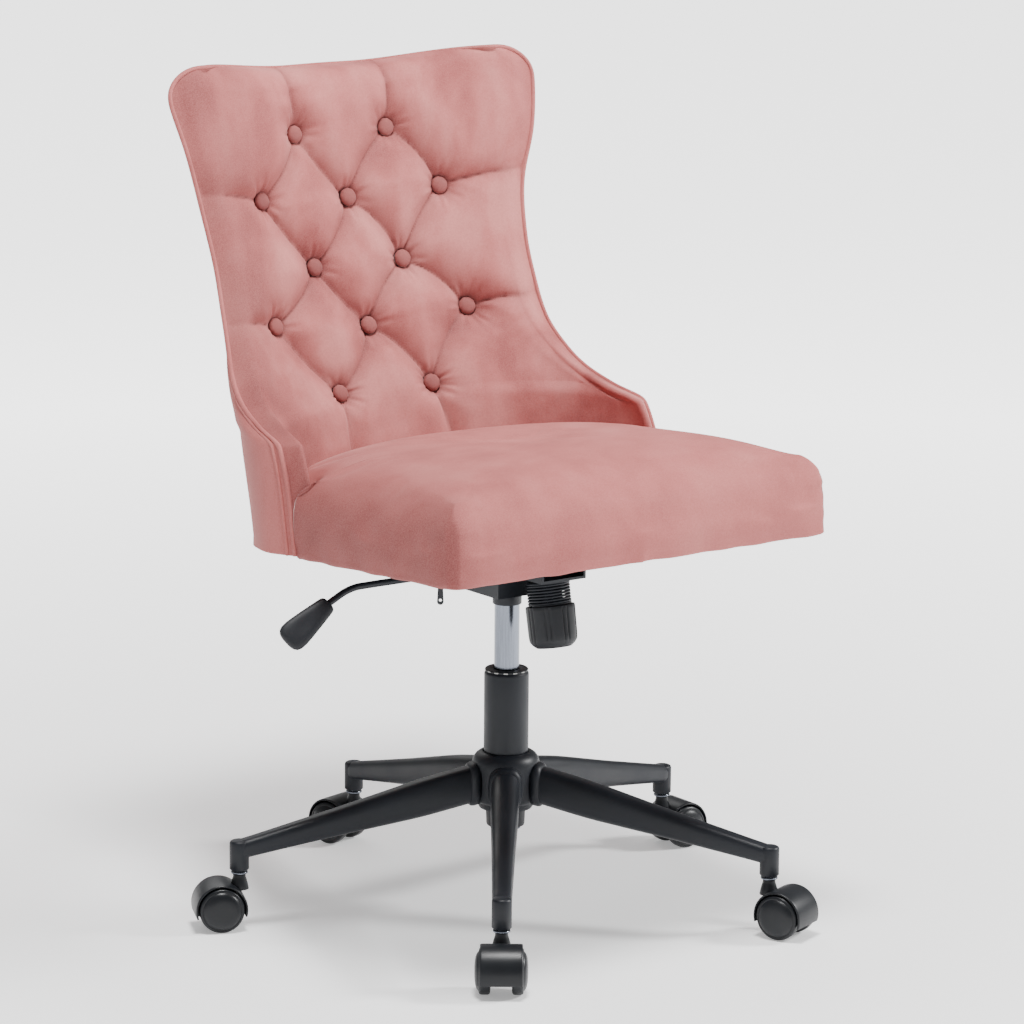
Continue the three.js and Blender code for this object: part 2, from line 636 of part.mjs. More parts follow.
function casterHood() {
  const low = rad(-HOOD_DROP);
  const high = rad(180 + HOOD_DROP);
  const fender = new THREE.Shape();
  fender.absarc(0, 0, HOOD_RADIUS, low, high, false);
  fender.absarc(0, 0, HOOD_INNER, high, low, true);
  const web = new THREE.Shape();
  web.absarc(0, 0, HOOD_INNER + 1, low, high, false);
  const centred = (geometry) => geometry.translate(TRAIL, 0, WHEEL_RADIUS);
  const axle = bar(3, -26, 26, 10).rotateX(Math.PI / 2);
  const neck = bar(NECK_RADIUS, 38, NECK_TOP, 14);
  const stemHole = bar(4 + GAP, 49, NECK_TOP + 5, 10);
  return joined(
    centred(acrossY(fender, HOOD_WIDTH)),
    [centred(acrossY(web, 21)), centred(axle), neck],
    [stemHole],
  );
}

function casterStem() {
  return turned([
    [0, 50], [4, 50], [4, NECK_TOP + GAP], [9.5, NECK_TOP + GAP], [9.5, NECK_TOP + 2.3],
    [5.2, NECK_TOP + 2.3], [5.2, STEM_TOP], [0, STEM_TOP],
  ], 14);
}

// wheel with flat treads, its axis along +Z and its tread's flat stretches square to the floor
function casterWheel() {
  const corner = 1 / Math.cos(Math.PI / WHEEL_SIDES);
  const profile = [
    [3.4, WHEEL_INNER], [WHEEL_RADIUS, WHEEL_INNER], [WHEEL_RADIUS, TREAD_OUTER], [21.5, 26.6],
    [12, WHEEL_OUTER], [0, WHEEL_OUTER], [0, 26.5], [3.4, 26.5], [3.4, WHEEL_INNER],
  ].map(([r, s]) => [r * corner, s]);
  return turned(profile, WHEEL_SIDES, Math.PI / WHEEL_SIDES);
}

function buildCasters(group) {
  const hood = casterHood();
  const stem = casterStem();
  const wheel = casterWheel();
  for (let i = 0; i < ARM_COUNT; i += 1) {
    const name = `caster_${i + 1}`;
    const direction = rad(FIRST_ARM + 360 * i / ARM_COUNT);
    const wheels = [['left', 1], ['right', -1]].map(([side, sign]) => {
      const mesh = named(`${name}_wheel_${side}`, wheel, BLACK_PLASTIC);
      mesh.position.set(TRAIL, 0, WHEEL_RADIUS);
      mesh.rotation.x = -sign * Math.PI / 2;
      return mesh;
    });
    const parts = [
      named(`${name}_stem`, stem, BRIGHT_STEEL),
      named(`${name}_hood`, hood, BLACK_PLASTIC),
      ...wheels,
    ];
    const spot = [SOCKET_DISTANCE * Math.cos(direction), SOCKET_DISTANCE * Math.sin(direction), 0];
    group.add(place(parts, spot, 0, TRAIL_TURNS[i]));
  }
}

// ---- the whole chair, standing on its casters and centred over its own outline ----
const group = new THREE.Group();
buildBase(group);
buildColumn(group);
buildMechanism(group);
buildSeat(group);
buildBack(group);
buildCasters(group);

group.updateMatrixWorld(true);
const box = new THREE.Box3().setFromObject(group, true);
group.position.set(-(box.min.x + box.max.x) / 2, -(box.min.y + box.max.y) / 2, -box.min.z);

export default group;
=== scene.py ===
"""Tufted velvet swivel chair: the looks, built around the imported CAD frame. Metres, +Z up.

Sizes are in millimetres measured from the column axis, as in the CAD, and place() turns them into the
frame's metres. The sitter faces -Y and +X is the sitter's left.
"""
import math

import bmesh
import bpy
import numpy as np
from mathutils import Matrix, Vector


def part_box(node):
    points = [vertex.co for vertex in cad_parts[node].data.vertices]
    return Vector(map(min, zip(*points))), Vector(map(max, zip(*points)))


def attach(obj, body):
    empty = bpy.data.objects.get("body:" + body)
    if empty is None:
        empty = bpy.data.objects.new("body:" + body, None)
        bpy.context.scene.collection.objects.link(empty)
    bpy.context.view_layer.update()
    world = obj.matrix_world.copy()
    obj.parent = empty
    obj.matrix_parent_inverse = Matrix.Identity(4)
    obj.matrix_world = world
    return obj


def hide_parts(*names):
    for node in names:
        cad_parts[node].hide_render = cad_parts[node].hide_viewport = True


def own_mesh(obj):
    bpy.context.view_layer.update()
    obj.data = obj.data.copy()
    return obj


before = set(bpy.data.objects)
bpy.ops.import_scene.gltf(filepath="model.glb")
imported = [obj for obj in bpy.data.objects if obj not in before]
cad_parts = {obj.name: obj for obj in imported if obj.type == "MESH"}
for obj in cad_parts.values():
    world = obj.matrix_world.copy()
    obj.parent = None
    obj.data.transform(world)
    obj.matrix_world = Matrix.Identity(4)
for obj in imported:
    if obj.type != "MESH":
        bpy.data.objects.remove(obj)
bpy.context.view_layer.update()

# ---- driving dimensions, millimetres and degrees, as in the CAD ----
SEAT_PITCH = 3.6
SEAT_Z = 427.5
SEAT_HALF_WIDTH = 253
SEAT_FRONT = -249
SEAT_SIDE_END = 43
SEAT_EDGE_HEIGHT = 84
SEAT_CROWN = 108
SEAT_CORNER = 9
SEAT_ROUND = 34
SEAT_TOP_RINGS = 64  # rings of the cover from its rounded edge in to the middle
DUST_CLOTH_INSET = 15
STAPLE_INSET = 19
ZIP_Y = -192  # where the zip pull hangs at the sitter's right side
ZIP_NOTCH = 34  # how far the dust cloth is cut back round it
ZIP_NOTCH_REACH = 26

# height, half width and depth of the back's outer front edge
RIM = [
    (405, 254, 36), (538, 249, 78), (550, 242, 126), (567, 234, 173), (591, 226, 205),
    (619, 218, 226), (664, 214, 245), (709, 213, 260), (770, 220, 276), (833, 236, 280),
    (890, 248, 296), (926, 248, 307),
]
# height, depth of the front face and of the rear face on the centre line
SPINE = [
    (405, 184, 238), (500, 208, 270), (559, 228, 294), (635, 263, 325), (770, 302, 362),
    (850, 322, 384), (926, 341, 403),
]
SWEEP = [(405, 102), (538, 100), (567, 90), (619, 77), (709, 64), (926, 58)]
EDGE_TURN = [(405, 45), (538, 45), (619, 18), (709, 4), (926, 0)]
EDGE_THICKNESS = 26
BACK_TOP = 926
EAR_RADIUS = 40
TOP_ROUND = 28
TOP_DIP = 17  # how far the top edge hangs below its ears in the middle
DIP_START = 858  # height, above the top buttons, where the dip begins

# tuft buttons, half spacing and height of each row
BUTTON_ROWS = [(62, 841), (121, 772), (0, 767), (60, 694), (130, 637), (0, 626), (62, 559)]
BUTTON_RADIUS = 10.2
TUFT_DEPTH = 23.0
PILLOW_REACH = 52  # distance from a crease over which a pillow swells to its full height
CORNER_REACH = 10.0  # how far the rounding of the pad's front corner reaches along both its sides

AXLE_Y, AXLE_Z = -35, 398
BOLT_LEAN = 10.5
BOLT_TOP = (0, -74, 389)
SPRING_LENGTH = 28
SPRING_RADIUS = 22.7
SPRING_WIRE = 1.45
SPRING_COILS = 8.5
KNOB_RADIUS = 27.3
KNOB_HEIGHT = 46.5
LEVER_Z = 392
LEVER_RADIUS = 3.75
GRIP_START = (-239, 378)
GRIP_TIP = (-294, 342)
GRIP_ROLL = 31

TUBE_RADIUS = 25
TUBE_TOP = 271
TUBE_BOTTOM = 94
TUBE_FOOT_RADIUS = 21.5
CYLINDER_RADIUS = 14
CYLINDER_TOP = 383

HUB_TOP = 179.5
HUB_BOTTOM = 115
HUB_RADIUS = 38
ARM_COUNT = 5
FIRST_ARM = 17.07
ARM_ROOT = (34, 145)
ARM_TIP = (304, 89)
ARM_ROOT_SIZE = (31, 42)
ARM_TIP_SIZE = 21
SOCKET_DISTANCE = 306.6
SOCKET_RADIUS = 10.8
SOCKET_BOTTOM = 66
SOCKET_TOP = 99

TRAIL_TURNS = (-1.4, 106.6, 155, 233.6, 291.6)
TRAIL = 22
WHEEL_RADIUS = 25
WHEEL_INNER = 11.3
HOOD_RADIUS = 29
HOOD_INNER = 26.7
HOOD_WIDTH = 35.5
HOOD_FRONT_DROP = 18  # degrees below the axle at the front
HOOD_DROP = 16  # and at the rear
NECK_RADIUS = 7
NECK_TOP = 61.5

# camera: turned round the column from straight ahead, looking down at a point on the column
CAMERA_TURN = 36.411
CAMERA_ELEVATION = 11.862
CAMERA_DISTANCE = 5275.6
CAMERA_AIM_HEIGHT = 450.7
CAMERA_SIDE_SHIFT = 4.6
CAMERA_ROLL = 0.464
CAMERA_LENS = 168.1

MM = 0.001


# ---- places and curves ----
def column_axis():
    low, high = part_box("column_tube")
    return (low.x + high.x) / 2, (low.y + high.y) / 2


AXIS = column_axis()


def place(points):
    """Millimetres from the column axis to metres in the frame."""
    moved = np.asarray(points, float) * MM
    return moved + np.array([AXIS[0], AXIS[1], 0.0])


def lerp(a, b, share):
    return a + (b - a) * share


def eased(table, height, column=1):
    """Value of a table's column at a height, eased through its points."""
    rows = np.array(table, float)
    x, y = rows[:, 0], rows[:, column]
    slope = np.empty(len(x))
    slope[1:-1] = (y[2:] - y[:-2]) / (x[2:] - x[:-2])
    slope[0] = (y[1] - y[0]) / (x[1] - x[0])
    slope[-1] = (y[-1] - y[-2]) / (x[-1] - x[-2])
    height = np.asarray(height, float)
    i = np.clip(np.searchsorted(x, height, side="right") - 1, 0, len(x) - 2)
    step = x[i + 1] - x[i]
    u = (height - x[i]) / step
    rise = y[i + 1] - y[i]
    start, end = slope[i] * step, slope[i + 1] * step
    return y[i] + u * (start + u * (3 * rise - 2 * start - end + u * (start + end - 2 * rise)))


def smooth(value, low, high):
    """Smooth step from 0 at low to 1 at high."""
    share = np.clip((value - low) / (high - low), 0, 1)
    return share * share * (3 - 2 * share)


def wobble(points, size, seed):
    """Smooth, repeatable unevenness between -1 and 1 from a few sine waves of about that size."""
    dice = np.random.default_rng(seed)
    total = np.zeros(points.shape[:-1])
    for _ in range(7):
        direction = dice.normal(size=3)
        direction *= 2 * math.pi / (size * dice.uniform(0.7, 1.6) * np.linalg.norm(direction))
        total += np.sin(points @ direction + dice.uniform(0, 2 * math.pi))
    return total / 4


# ---- mesh makers ----
def new_object(name, vertices, faces):
    mesh = bpy.data.meshes.new(name)
    mesh.from_pydata([tuple(v) for v in vertices], [], faces)
    mesh.validate()
    mesh.update()
    mesh.polygons.foreach_set("use_smooth", [True] * len(mesh.polygons))
    obj = bpy.data.objects.new(name, mesh)
    bpy.context.scene.collection.objects.link(obj)
    return obj


def grid_faces(rows, columns, wrap=False):
    """Four-sided faces between neighbouring points of a grid."""
    faces = []
    across = columns if wrap else columns - 1
    for r in range(rows - 1):
        for c in range(across):
            a = r * columns + c
            b = r * columns + (c + 1) % columns
            faces.append((a, b, b + columns, a + columns))
    return faces


def grid_object(name, grid):
    """Sheet through a rows by columns grid of points in millimetres."""
    return new_object(name, place(grid.reshape(-1, 3)), grid_faces(*grid.shape[:2]))


def end_caps(rows, columns):
    """Faces that close the first and the last ring."""
    return [tuple(reversed(range(columns))), tuple(range((rows - 1) * columns, rows * columns))]


def loft_object(name, rings, placed=True):
    """Closed skin through equal rings of points, capped at both ends."""
    rings = np.asarray(rings, float)
    rows, columns = rings.shape[:2]
    faces = grid_faces(rows, columns, wrap=True) + end_caps(rows, columns)
    points = rings.reshape(-1, 3)
    return outward(new_object(name, place(points) if placed else points * MM, faces))


def outward(obj):
    """Turns a closed mesh's faces outwards if they point in."""
    mesh = obj.data
    mesh.calc_loop_triangles()
    volume = 0.0
    for triangle in mesh.loop_triangles:
        a, b, c = (mesh.vertices[i].co for i in triangle.vertices)
        volume += a.dot(b.cross(c))
    if volume < 0:
        mesh.flip_normals()
    return obj


def turned_object(name, profile, segments, sharp=None):
    """Body turned about the column axis from radius and height pairs, capped unless its profile closes."""
    angles = np.linspace(0, 2 * math.pi, segments, endpoint=False)
    rings = [[(r * math.cos(a), r * math.sin(a), z) for a in angles] for r, z in profile]
    rings = np.array(rings)
    rows = len(profile)
    closed = profile[0] == profile[-1]
    faces = grid_faces(rows, segments, wrap=True)
    if not closed:
        faces += end_caps(rows, segments)
    obj = new_object(name, place(rings.reshape(-1, 3)), faces)
    if closed:
        weld(obj)
    outward(obj)
    return sharp_by_angle(obj, sharp) if sharp else obj


def weld(obj):
    """Merges points that lie in one place."""
    edited = bmesh.new()
    edited.from_mesh(obj.data)
    bmesh.ops.remove_doubles(edited, verts=edited.verts, dist=1e-6)
    edited.to_mesh(obj.data)
    edited.free()
    return obj


def frames_along(path):
    """A side and an up direction at each point of a path, carried along without twist."""
    path = np.asarray(path, float)
    tangents = np.gradient(path, axis=0)
    tangents /= np.linalg.norm(tangents, axis=1)[:, None]
    side = np.cross(tangents[0], (0.0, 0.0, 1.0))
    if np.linalg.norm(side) < 0.1:
        side = np.cross(tangents[0], (0.0, 1.0, 0.0))
    sides = []
    for tangent in tangents:
        side = side - tangent * (side @ tangent)
        side /= np.linalg.norm(side)
        sides.append(side)
    sides = np.array(sides)
    return sides, np.cross(tangents, sides)


def tube_object(name, path, radius, sides):
    """Round bar along a path, its radius one number or one for each point."""
    path = np.asarray(path, float)
    across, up = frames_along(path)
    radii = np.broadcast_to(radius, len(path))
    turns = np.linspace(0, 2 * math.pi, sides, endpoint=False)
    rings = [
        [p + r * (math.cos(a) * s + math.sin(a) * u) for a in turns]
        for p, s, u, r in zip(path, across, up, radii)
    ]
    return loft_object(name, rings)


def upright_rings(profile, segments):
    """Rings about an upright axis from radius and height pairs."""
    turns = np.linspace(0, 2 * math.pi, segments, endpoint=False)
    return np.array([
        np.stack([r * np.cos(turns), r * np.sin(turns), np.full(segments, z)], -1) for r, z in profile
    ])


def rounded_section(half_wide, half_tall, power, segments):
    """Rounded rectangle's two coordinates all the way round, squarer as the power falls."""
    turns = np.linspace(0, 2 * math.pi, segments, endpoint=False)
    cosine, sine = np.cos(turns), np.sin(turns)
    return (half_wide * np.sign(cosine) * np.abs(cosine)**power,
            half_tall * np.sign(sine) * np.abs(sine)**power, turns)


def smooth_path(points, steps):
    """Catmull-Rom curve through points."""
    points = np.asarray(points, float)
    padded = np.vstack([2 * points[0] - points[1], points, 2 * points[-1] - points[-2]])
    out = []
    for i in range(len(points) - 1):
        a, b, c, d = padded[i:i + 4]
        for u in np.arange(steps) / steps:
            out.append(0.5 * (2 * b + (c - a) * u + (2 * a - 5 * b + 4 * c - d) * u**2
                              + (3 * b - a - 3 * c + d) * u**3))
    out.append(points[-1])
    return np.array(out)


def joined(name, objects):
    """One object from several, named after the piece."""
    bpy.ops.object.select_all(action="DESELECT")
    for obj in objects:
        obj.select_set(True)
    bpy.context.view_layer.objects.active = objects[0]
    bpy.ops.object.join()
    objects[0].name = name
    objects[0].data.name = name
    return objects[0]


def modified(obj, kind, **settings):
    modifier = obj.modifiers.new(kind.lower(), kind)
    for key, value in settings.items():
        setattr(modifier, key, value)
    return obj


def softened(obj, width, segments=3):
    """Rounds sharp edges by that many millimetres."""
    return modified(obj, "BEVEL", width=width * MM, segments=segments, limit_method="ANGLE",
                    angle_limit=math.radians(35))


def paint_shade(obj, amounts):
    """Stores painted shade at each point, from 0 to 1, that darkens the velvet's colour in folds, creases and
    other shaded places.
    """
    marks = obj.data.attributes.new("fold", "FLOAT", "POINT")
    marks.data.foreach_set("value", np.clip(amounts, 0, 1).astype(np.float32).ravel())
    return obj


def sharp_by_angle(obj, degrees):
    obj.data.set_sharp_from_angle(angle=math.radians(degrees))
    return obj


def piece(obj, body, material, slot, *nodes):
    """Dresses a new piece, mounts it on its body and lets it stand for CAD nodes."""
    obj.data.materials.clear()
    obj.data.materials.append(material)
    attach(obj, body)
    if nodes:
        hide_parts(*nodes)
    return obj


# ---- materials ----
class Shader:
    """Small helper that adds nodes to a material and links them."""

    def __init__(self, name, **settings):
        self.material = bpy.data.materials.new(name)
        self.material.use_nodes = True
        self.tree = self.material.node_tree
        self.bsdf = self.tree.nodes["Principled BSDF"]
        for key, value in settings.items():
            self.bsdf.inputs[key.replace("_", " ")].default_value = value

    def node(self, kind, inputs=None, **attributes):
        made = self.tree.nodes.new(kind)
        for key, value in attributes.items():
            setattr(made, key, value)
        for key, value in (inputs or {}).items():
            if isinstance(value, bpy.types.NodeSocket):
                self.tree.links.new(value, made.inputs[key])
            else:
                made.inputs[key].default_value = value
        return made

    def coordinates(self):
        return self.node("ShaderNodeTexCoord").outputs["Object"]

    def noise(self, scale, detail=3.0, roughness=0.55, vector=None, distortion=0.0):
        made = self.node("ShaderNodeTexNoise", {
            "Vector": vector or self.coordinates(),
            "Scale": scale, "Detail": detail, "Roughness": roughness, "Distortion": distortion,
        })
        return made.outputs["Fac"]

    def stretched(self, scale):
        mapped = self.node("ShaderNodeMapping", {"Vector": self.coordinates(), "Scale": scale})
        return mapped.outputs["Vector"]

    def ramp(self, value, *stops):
        made = self.node("ShaderNodeValToRGB", {"Fac": value})
        elements = made.color_ramp.elements
        while len(elements) < len(stops):
            elements.new(0.5)
        for element, (position, colour) in zip(elements, stops):
            element.position = position
            element.color = (*colour, 1.0)
        return made.outputs["Color"]

    def mapped(self, value, low, high, new_low, new_high):
        made = self.node("ShaderNodeMapRange", {
            "Value": value, "From Min": low, "From Max": high, "To Min": new_low, "To Max": new_high,
        })
        return made.outputs["Result"]

    def mix(self, factor, a, b):
        made = self.node("ShaderNodeMix", data_type="RGBA")
        for index, value in ((0, factor), (6, a), (7, b)):
            if isinstance(value, bpy.types.NodeSocket):
                self.tree.links.new(value, made.inputs[index])
            else:
                made.inputs[index].default_value = value
        return made.outputs[2]

    def bump(self, height, strength, distance, normal=None):
        inputs = {"Height": height, "Strength": strength, "Distance": distance}
        if normal is not None:
            inputs["Normal"] = normal
        return self.node("ShaderNodeBump", inputs).outputs["Normal"]

    def to(self, socket, value):
        self.tree.links.new(value, self.bsdf.inputs[socket])


def velvet(name, light, middle, dark, patch, contrast):
    """Short-pile velvet: clouds where the pile lies another way, painted shade from the mesh's fold marks,
    fine pile and a soft sheen.
    """
    shader = Shader(name, Roughness=0.75, Specular_IOR_Level=0.18, Sheen_Weight=0.22, Sheen_Roughness=0.30)
    shader.bsdf.inputs["Sheen Tint"].default_value = (1.0, 0.72, 0.69, 1.0)
    nap_and_wing_shade = shader.noise(patch, 4.0, 0.6, distortion=0.6)
    brushed = shader.noise(3.0, 3.0, 0.5, shader.stretched((6.0, 6.0, 1.2)))
    blended = shader.node("ShaderNodeMath", {0: nap_and_wing_shade, 1: brushed}, operation="ADD").outputs[0]
    spread = 0.5 * contrast
    clouds = shader.mapped(blended, 1.0 - 0.16 / contrast, 1.0 + 0.16 / contrast, 0.5 - spread, 0.5 + spread)
    colour = shader.ramp(clouds, (0.0, dark), (0.5, middle), (1.0, light))
    pile = shader.noise(750.0, 3.0, 0.75)
    # Painted shade: the mesh's fold marks darken the colour in creases, pits and shaded places.
    folds = shader.node("ShaderNodeAttribute", attribute_name="fold").outputs["Fac"]
    colour = shader.mix(folds, colour, (*(0.45 * c for c in dark), 1.0))
    grain = shader.noise(380.0, 6.0, 0.8)
    colour = shader.mix(shader.mapped(grain, 0.40, 0.62, 0.0, 0.26), colour, (*dark, 1.0))
    shader.to("Base Color", shader.mix(shader.mapped(pile, 0.35, 0.65, 0.0, 0.30), colour, (*light, 1.0)))
    coarse = shader.bump(nap_and_wing_shade, 0.12, 0.0015)
    shader.to("Normal", shader.bump(grain, 0.45, 0.0006, coarse))
    shader.to("Roughness", shader.mapped(nap_and_wing_shade, 0.35, 0.65, 0.62, 0.80))
    return shader.material


def powder_coat(name, colour=(0.0065, 0.0080, 0.0115), roughness=0.46):
    """Satin black powder coat: a faint orange peel and slightly rubbed patches."""
    shader = Shader(name, Specular_IOR_Level=0.32)
    peel = shader.noise(900.0, 2.0, 0.5)
    rubbed = shader.noise(14.0, 4.0, 0.6)
    shader.to("Base Color", shader.ramp(rubbed, (0.35, colour), (0.75, tuple(1.5 * c for c in colour))))
    shader.to("Roughness", shader.mapped(rubbed, 0.3, 0.7, roughness - 0.05, roughness + 0.08))
    shader.to("Normal", shader.bump(peel, 0.12, 0.0002))
    return shader.material


def moulded(name, colour=(0.0085, 0.0095, 0.0120), roughness=0.50, grain=1400.0, depth=0.2):
    """Moulded plastic with a fine spark-eroded grain."""
    shader = Shader(name, Specular_IOR_Level=0.32)
    fine = shader.noise(grain, 3.0, 0.6)
    broad = shader.noise(20.0, 3.0, 0.5)
    shader.to("Base Color", shader.ramp(broad, (0.3, colour), (0.8, tuple(1.4 * c for c in colour))))
    shader.to("Roughness", shader.mapped(broad, 0.3, 0.7, roughness - 0.05, roughness + 0.07))
    shader.to("Normal", shader.bump(fine, depth, 0.0002))
    return shader.material


def ground_steel(name, roughness=0.2):
    """Ground and polished steel with fine drawn lines along its length."""
    shader = Shader(name, Metallic=1.0)
    lines = shader.noise(60.0, 4.0, 0.7, shader.stretched((30.0, 30.0, 0.4)))
    shader.to("Base Color", shader.ramp(lines, (0.3, (0.12, 0.132, 0.158)), (0.7, (0.225, 0.243, 0.282))))
    shader.to("Roughness", shader.mapped(lines, 0.3, 0.7, roughness - 0.06, roughness + 0.1))
    shader.to("Normal", shader.bump(lines, 0.05, 0.0001))
    return shader.material


def plywood(name):
    """Raw plywood: stretched grain over thin veneers."""
    shader = Shader(name, Roughness=0.75)
    grain = shader.noise(12.0, 6.0, 0.65, shader.stretched((2.0, 14.0, 14.0)))
    shader.to("Base Color", shader.ramp(grain, (0.3, (0.30, 0.18, 0.09)), (0.7, (0.52, 0.35, 0.19))))
    shader.to("Normal", shader.bump(grain, 0.2, 0.0005))
    return shader.material


def dust_cloth(name):
    """Black non-woven cloth: fine pressed fibres with a faint square emboss."""
    shader = Shader(name, Roughness=0.95, Sheen_Weight=0.15)
    fibres = shader.noise(1100.0, 4.0, 0.7)
    waves = [
        shader.node("ShaderNodeTexWave", {"Vector": shader.coordinates(), "Scale": 120.0},
                    bands_direction=axis)
        for axis in ("X", "Y")
    ]
    emboss = shader.node("ShaderNodeMath", {0: waves[0].outputs["Fac"], 1: waves[1].outputs["Fac"]},
                         operation="MULTIPLY").outputs[0]
    shader.to("Base Color", shader.ramp(fibres, (0.3, (0.006, 0.006, 0.007)), (0.8, (0.028, 0.028, 0.030))))
    shader.to("Normal", shader.bump(emboss, 0.3, 0.0004, shader.bump(fibres, 0.3, 0.0003)))
    return shader.material


VELVET_LIGHT = (0.540, 0.205, 0.188)
VELVET_MIDDLE = (0.415, 0.122, 0.113)
VELVET_DARK = (0.235, 0.050, 0.048)
MATERIALS = {
    "tufted": velvet("velvet_tufted", VELVET_LIGHT, VELVET_MIDDLE, VELVET_DARK, 9.0, 0.75),
    "seat": velvet("velvet_seat", VELVET_LIGHT, VELVET_MIDDLE, VELVET_DARK, 5.0, 0.5),
    "rear": velvet("velvet_rear", VELVET_LIGHT, VELVET_MIDDLE, VELVET_DARK, 6.0, 0.5),
    # The buttons get the velvet in darker colours: painted shade of the pits they sit in.
    "button": velvet("velvet_button", (0.31, 0.100, 0.092), (0.23, 0.066, 0.061), (0.13, 0.03, 0.03),
                     30.0, 0.5),
    "welt": velvet("velvet_welt", VELVET_LIGHT, VELVET_MIDDLE, VELVET_DARK, 20.0, 0.5),
    "black": powder_coat("powder_coat"),
    "plastic": moulded("moulded_plastic"),
    "nylon": moulded("caster_nylon", (0.0070, 0.0080, 0.0100), 0.38, 700.0, 0.08),
    "steel": ground_steel("ground_steel"),
    "ply": plywood("plywood"),
    "lining": dust_cloth("dust_cloth"),
    "guide": moulded("guide_plastic", (0.36, 0.36, 0.35), 0.4),
}


# ---- cloth ----
def blown_up(obj, held, pressure, frames=16, limit=7.0):
    """Blows a cover up as cloth held at some of its points. Gives each point's move in millimetres."""
    obj.vertex_groups.new(name="held").add([int(i) for i in np.flatnonzero(held)], 1.0, "REPLACE")
    cloth = obj.modifiers.new("cloth", "CLOTH")
    settings = cloth.settings
    settings.quality = 5
    settings.mass = 0.2
    settings.tension_stiffness = 30
    settings.compression_stiffness = 30
    settings.shear_stiffness = 12
    settings.bending_stiffness = 1.5
    settings.vertex_group_mass = "held"
    settings.use_pressure = True
    settings.uniform_pressure_force = pressure
    settings.effector_weights.gravity = 0
    cloth.point_cache.frame_start = 1
    cloth.point_cache.frame_end = frames
    rest = np.array([v.co for v in obj.data.vertices])
    for step in range(1, frames + 1):
        bpy.context.scene.frame_set(step)
    blown = obj.evaluated_get(bpy.context.evaluated_depsgraph_get())
    moved = np.nan_to_num((np.array([v.co for v in blown.data.vertices]) - rest) / MM)
    bpy.context.scene.frame_set(1)
    bpy.data.objects.remove(obj)
    length = np.linalg.norm(moved, axis=-1, keepdims=True)
    return moved * limit / (limit + length)


# ---- the back's surface ----
def ear_narrowing(z):
    into = np.maximum(z - (BACK_TOP - EAR_RADIUS), 0)
    return EAR_RADIUS - np.sqrt(np.maximum(EAR_RADIUS**2 - into**2, 0))


def top_rounding(z):
    into = np.clip((z - (BACK_TOP - TOP_ROUND)) / TOP_ROUND, 0, 1)
    return np.sqrt(1 - into**2)


def plan_curve(half_width, end_depth, middle_depth, sweep, t):
    x = half_width * np.sin(t * sweep) / np.sin(sweep)
    y = middle_depth - (middle_depth - end_depth) * (1 - np.cos(t * sweep)) / (1 - np.cos(sweep))
    return x, y


def back_point(t, z, share):
    """Points of the back: t across from -1 to 1, share 0 on the rear face and 1 on the front face."""
    t, z, share = np.broadcast_arrays(*(np.asarray(v, float) for v in (t, z, share)))
    sweep = np.radians(eased(SWEEP, z))
    width = eased(RIM, z) - ear_narrowing(z)
    depth = eased(RIM, z, 2)
    turn = np.radians(eased(EDGE_TURN, z))
    rear_x, rear_y = plan_curve(width, depth, eased(SPINE, z, 2), sweep, t)
    front_x, front_y = plan_curve(width - EDGE_THICKNESS * np.cos(turn),
                                  depth - EDGE_THICKNESS * np.sin(turn), eased(SPINE, z), sweep, t)
    through = 0.5 + (share - 0.5) * top_rounding(z)
    return np.stack([lerp(rear_x, front_x, through), lerp(rear_y, front_y, through), z], -1)


def dipped(points):
    """Lowers the top edge towards its middle, and leaves the ears and everything below DIP_START."""
    lowered = points.copy()
    across = 1 - smooth(np.abs(points[..., 0]), 40, 235)
    lowered[..., 2] -= TOP_DIP * across * smooth(points[..., 2], DIP_START, BACK_TOP)
    return lowered


def developed(grid):
    """Widest girth, height and area of a curved cover laid out flat, in metres."""
    girths = np.linalg.norm(np.diff(grid, axis=1), axis=2).sum(axis=1)
    rises = np.linalg.norm(np.diff(grid, axis=0), axis=2).mean(axis=1)
    area = ((girths[1:] + girths[:-1]) / 2 * rises).sum()
    return girths.max() * MM, rises.sum() * MM, area * MM**2


def underside(y):
    return SEAT_Z - y * math.tan(math.radians(SEAT_PITCH))


def back_heights(spacing):
    """Heights of the back's rows, evenly spaced along its outer front edge, then over the rounded top."""
    fine = np.linspace(430, BACK_TOP - TOP_ROUND, 4000)
    edge = back_point(1.0, fine, 0.0)
    travel = np.concatenate([[0], np.cumsum(np.linalg.norm(np.diff(edge, axis=0), axis=1))])
    count = int(travel[-1] / spacing)
    straight = np.interp(np.linspace(0, travel[-1], count), travel, fine)
    turns = np.linspace(0, math.pi / 2, 16)[1:]
    return np.concatenate([straight, BACK_TOP - TOP_ROUND + TOP_ROUND * np.sin(turns)])


def button_places():
    places = []
    for x, z in BUTTON_ROWS:
        for side in ((-1, 1) if x else (0,)):
            places.append((side * x, z))
    return places


BUTTONS = button_places()


def crease_links():
    """Pairs of buttons joined by a crease: each button and its nearest ones in the row below."""
    links = []
    for i, (x, z) in enumerate(BUTTONS):
        for j, (other_x, other_z) in enumerate(BUTTONS):
            if 55 < z - other_z < 90 and 40 < abs(x - other_x) < 90:
                links.append((i, j))
    return links


def polyline_distance(points, path):
    """Distance of each point to a path, and how far along the path its nearest place lies, 0 to 1."""
    best = np.full(points.shape[:-1], 1e9)
    along = np.zeros(points.shape[:-1])
    count = len(path) - 1
    for k in range(count):
        a, b = path[k], path[k + 1]
        direction = b - a
        share = np.clip(((points - a) @ direction) / (direction @ direction), 0, 1)
        gap = np.linalg.norm(points - a - share[..., None] * direction, axis=-1)
        nearer = gap < best
        best = np.where(nearer, gap, best)
        along = np.where(nearer, (k + share) / count, along)
    return best, along


